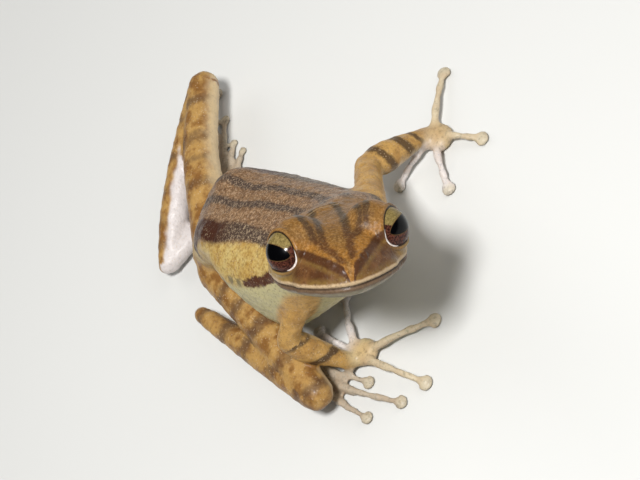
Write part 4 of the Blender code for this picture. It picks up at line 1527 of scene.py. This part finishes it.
skin = dressed("skin", skin_mesh, skin_material)
flesh = [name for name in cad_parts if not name.startswith("eye_")]
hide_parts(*flesh)
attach(skin, "root")
print("the skin takes the place of", len(flesh), "nodes")

# %% [markdown]
# The eye is the liveliest part. It is a ball with a slightly raised cornea, and its iris is drawn by
# angles from the eye's axis: gold above, dark red below, with a wide black pupil that stays level while
# the head is raised. A painted picture would need a seam somewhere on the ball, and angles need none.

# %% Eyeballs
PUPIL_LOOKS = (0.58, 0.76, 0.30)
PUPIL_FRONT = (0.97, 0.18, 0.14)
CORNEA_RISE = 0.12
CORNEA_DEGREES = 42.0
EYE_GAP = 0.02
EYE_RINGS = 64
EYE_SIDES = 96


def iris_frame(side):
    """Columns: the middle of the pupil, along the pupil to its front end, and up across it."""
    looks = unit(HEAD_AXES @ mirrored(PUPIL_LOOKS, side))
    front = HEAD_AXES @ mirrored(PUPIL_FRONT, side)
    along = unit(front - (front @ looks) * looks)
    return np.stack([looks, along, np.cross(looks, along) * -MIRROR[side]], axis=1)


def outward(mesh):
    """Turns every face of a closed mesh outwards."""
    bm = bmesh.new()
    bm.from_mesh(mesh)
    bmesh.ops.recalc_face_normals(bm, faces=bm.faces)
    bm.to_mesh(mesh)
    bm.free()


def eyeball_mesh(side):
    """A grid of angle from the axis and angle round it. The radius is the eye's, plus a rise near the
    axis that falls off as a bell over CORNEA_DEGREES."""
    angle = np.linspace(0, 180, EYE_RINGS + 2)[1:-1]
    around = np.arange(EYE_SIDES) / EYE_SIDES * 2 * math.pi
    radius = (EYE_RADIUS - EYE_GAP + CORNEA_RISE * bell(angle, CORNEA_DEGREES))[:, None, None]
    polar = np.radians(angle)[:, None]
    out = np.cos(polar) * np.ones_like(around)
    local = np.stack([out, np.sin(polar) * np.cos(around), np.sin(polar) * np.sin(around)], axis=-1)
    points, quads, fans = closed_grid(eye_centre(side) + (radius * local) @ eye_frame(side).T)
    mesh = make_mesh(f"eyeball_{side}", points, quads.tolist() + fans.tolist())
    seen = unit(points - eye_centre(side)) @ iris_frame(side)
    past, _ = past_lids(points, side)
    store_fields(mesh, {"iris_along": seen[:, 1], "iris_up": seen[:, 2], "past_lids": past})
    outward(mesh)
    return mesh


print("the left eye's middle, in mm:", eye_centre("left").round(2))

# %% Finish of the eyes
# The pupil's half length and half height, the powers that round it, how much its height is cut so that
# its ends are blunt, and how far its middle lies below the eye's axis, in shares of the eye's radius.
PUPIL_HALF = (0.72, 0.33)
PUPIL_POWERS = (2.2, 0.52)
PUPIL_TRIM = 0.03
PUPIL_DROP = 0.03
# In front of this place along the iris the red reaches higher, by this much for each step forward.
RED_FRONT = 0.42
RED_RISE = 1.3
IRIS_GOLD = (0.25, 0.185, 0.066)
IRIS_GOLD_DARK = (0.105, 0.076, 0.026)
IRIS_RED = (0.115, 0.038, 0.024)
IRIS_RED_DARK = (0.020, 0.007, 0.005)
PUPIL_RIM = (0.10, 0.055, 0.02)
PUPIL_BLACK = (0.0012, 0.0012, 0.0016)
EYE_SHADE_UNDER_LIDS = (0.008, 0.005, 0.004)

eye_material, tree, eye_inputs, where = new_material("frog_eye")
iris_along = field("iris_along")
iris_up = field("iris_up")
reach = power(absolute(divide(iris_along, PUPIL_HALF[0])), PUPIL_POWERS[0])
rounded = power(larger(minus(1.0, reach), 0.0), PUPIL_POWERS[1])
half_height = minus(times(rounded, PUPIL_HALF[1]), PUPIL_TRIM)
pupil_edge = minus(absolute(plus(iris_up, PUPIL_DROP)), half_height)
veins = noise(where, 0.30, 6.0, 0.75)
gold = blend(soft_edge(veins, 0.36, 0.64), IRIS_GOLD_DARK, IRIS_GOLD)
red = blend(soft_edge(veins, 0.42, 0.62), IRIS_RED_DARK, IRIS_RED)
red_edge = minus(iris_up, times(larger(minus(iris_along, RED_FRONT), 0.0), RED_RISE))
red_edge = plus(red_edge, times(minus(veins, 0.5), 0.25))
iris = blend(soft_edge(red_edge, -0.02, 0.12), red, gold)
iris = tint(iris, PUPIL_RIM, soft_edge(pupil_edge, 0.05, 0.015))
iris = tint(iris, PUPIL_BLACK, soft_edge(pupil_edge, 0.02, 0.0))
# The eyeball darkens towards the lids' edge: painted shade where the lids overhang it.
iris = tint(iris, EYE_SHADE_UNDER_LIDS, soft_edge(field("past_lids"), -3.0, -0.6))
feed(eye_inputs["Base Color"], iris)
set_inputs(eye_inputs, {"Roughness": 0.25, "Specular IOR Level": 0.05})
set_inputs(eye_inputs, {"Coat Weight": 0.24, "Coat Roughness": 0.03})

for side in SIDES:
    ball = dressed(f"eyeball_{side}", eyeball_mesh(side), eye_material)
    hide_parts(f"eye_{side}")
    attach(ball, "root")
print("eyeballs stand in their lids, with", len(ball.data.polygons), "faces each")

# %% [markdown]
# A frog has a third eyelid, folded away below the eye while it is awake. Its whitish edge shows as a thin
# crescent at the front and below. It could be painted on the eyeball, but as a solid sliver it hides the
# joint between ball and lid and catches its own highlight.

# %% Third eyelids
RIM_FROM = -46.0
RIM_TO = 20.0
RIM_HALF = 1.4
RIM_END_HALF = 0.1
RIM_INNER = -0.9
RIM_STAND = 0.04
RIM_THICK = 0.07
RIM_RINGS = 64
RIM_SIDES = 12
RIM_WHITE = (0.80, 0.74, 0.70)
RIM_TAN = (0.62, 0.52, 0.46)


def rim_mesh(side):
    """A thin crescent that lies along the lids' edge, raised as their profile is. Round the opening it
    runs from RIM_FROM to RIM_TO degrees, where 0 is towards the snout and -90 is down, and its width swells
    as a half sine wave."""
    t = np.linspace(0, 1, RIM_RINGS)[:, None]
    turn = np.radians(RIM_FROM + (RIM_TO - RIM_FROM) * t)
    across = np.arange(RIM_SIDES)[None] / RIM_SIDES * 2 * math.pi
    half = RIM_END_HALF + RIM_HALF * np.sin(math.pi * t)
    past = RIM_INNER + half + half * np.cos(across)
    angle = np.radians(eye_opening(turn) + past)
    radius = EYE_RADIUS + np.interp(past, *np.array(LID_PROFILE).T) + RIM_STAND + RIM_THICK * np.sin(across)
    way = [np.cos(angle), np.sin(angle) * np.cos(turn), np.sin(angle) * np.sin(turn)]
    rings = eye_centre(side) + (radius * way).transpose(1, 2, 0) @ eye_frame(side).T
    points, quads, fans = closed_grid(rings)
    mesh = make_mesh(f"third_lid_{side}", points, quads.tolist() + fans.tolist())
    outward(mesh)
    return mesh


rim_material, tree, rim_inputs, where = new_material("third_lid")
feed(rim_inputs["Base Color"], blend(soft_edge(noise(where, 0.6), 0.35, 0.65), RIM_WHITE, RIM_TAN))
set_inputs(rim_inputs, {"Roughness": 0.25, "Coat Weight": 0.6})

for side in SIDES:
    rim = dressed(f"third_lid_{side}", rim_mesh(side), rim_material)
    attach(rim, "root")
for piece in (skin, ball, rim):
    piece.data.calc_loop_triangles()
    print(piece.name, "triangles:", len(piece.data.loop_triangles))

# %% [markdown]
# Last, every mesh is brought up to date. The skin may stand a little outside the CAD model, which is a
# frog of plain solids.

# %% The last line
for mesh in bpy.data.meshes:
    mesh.update()
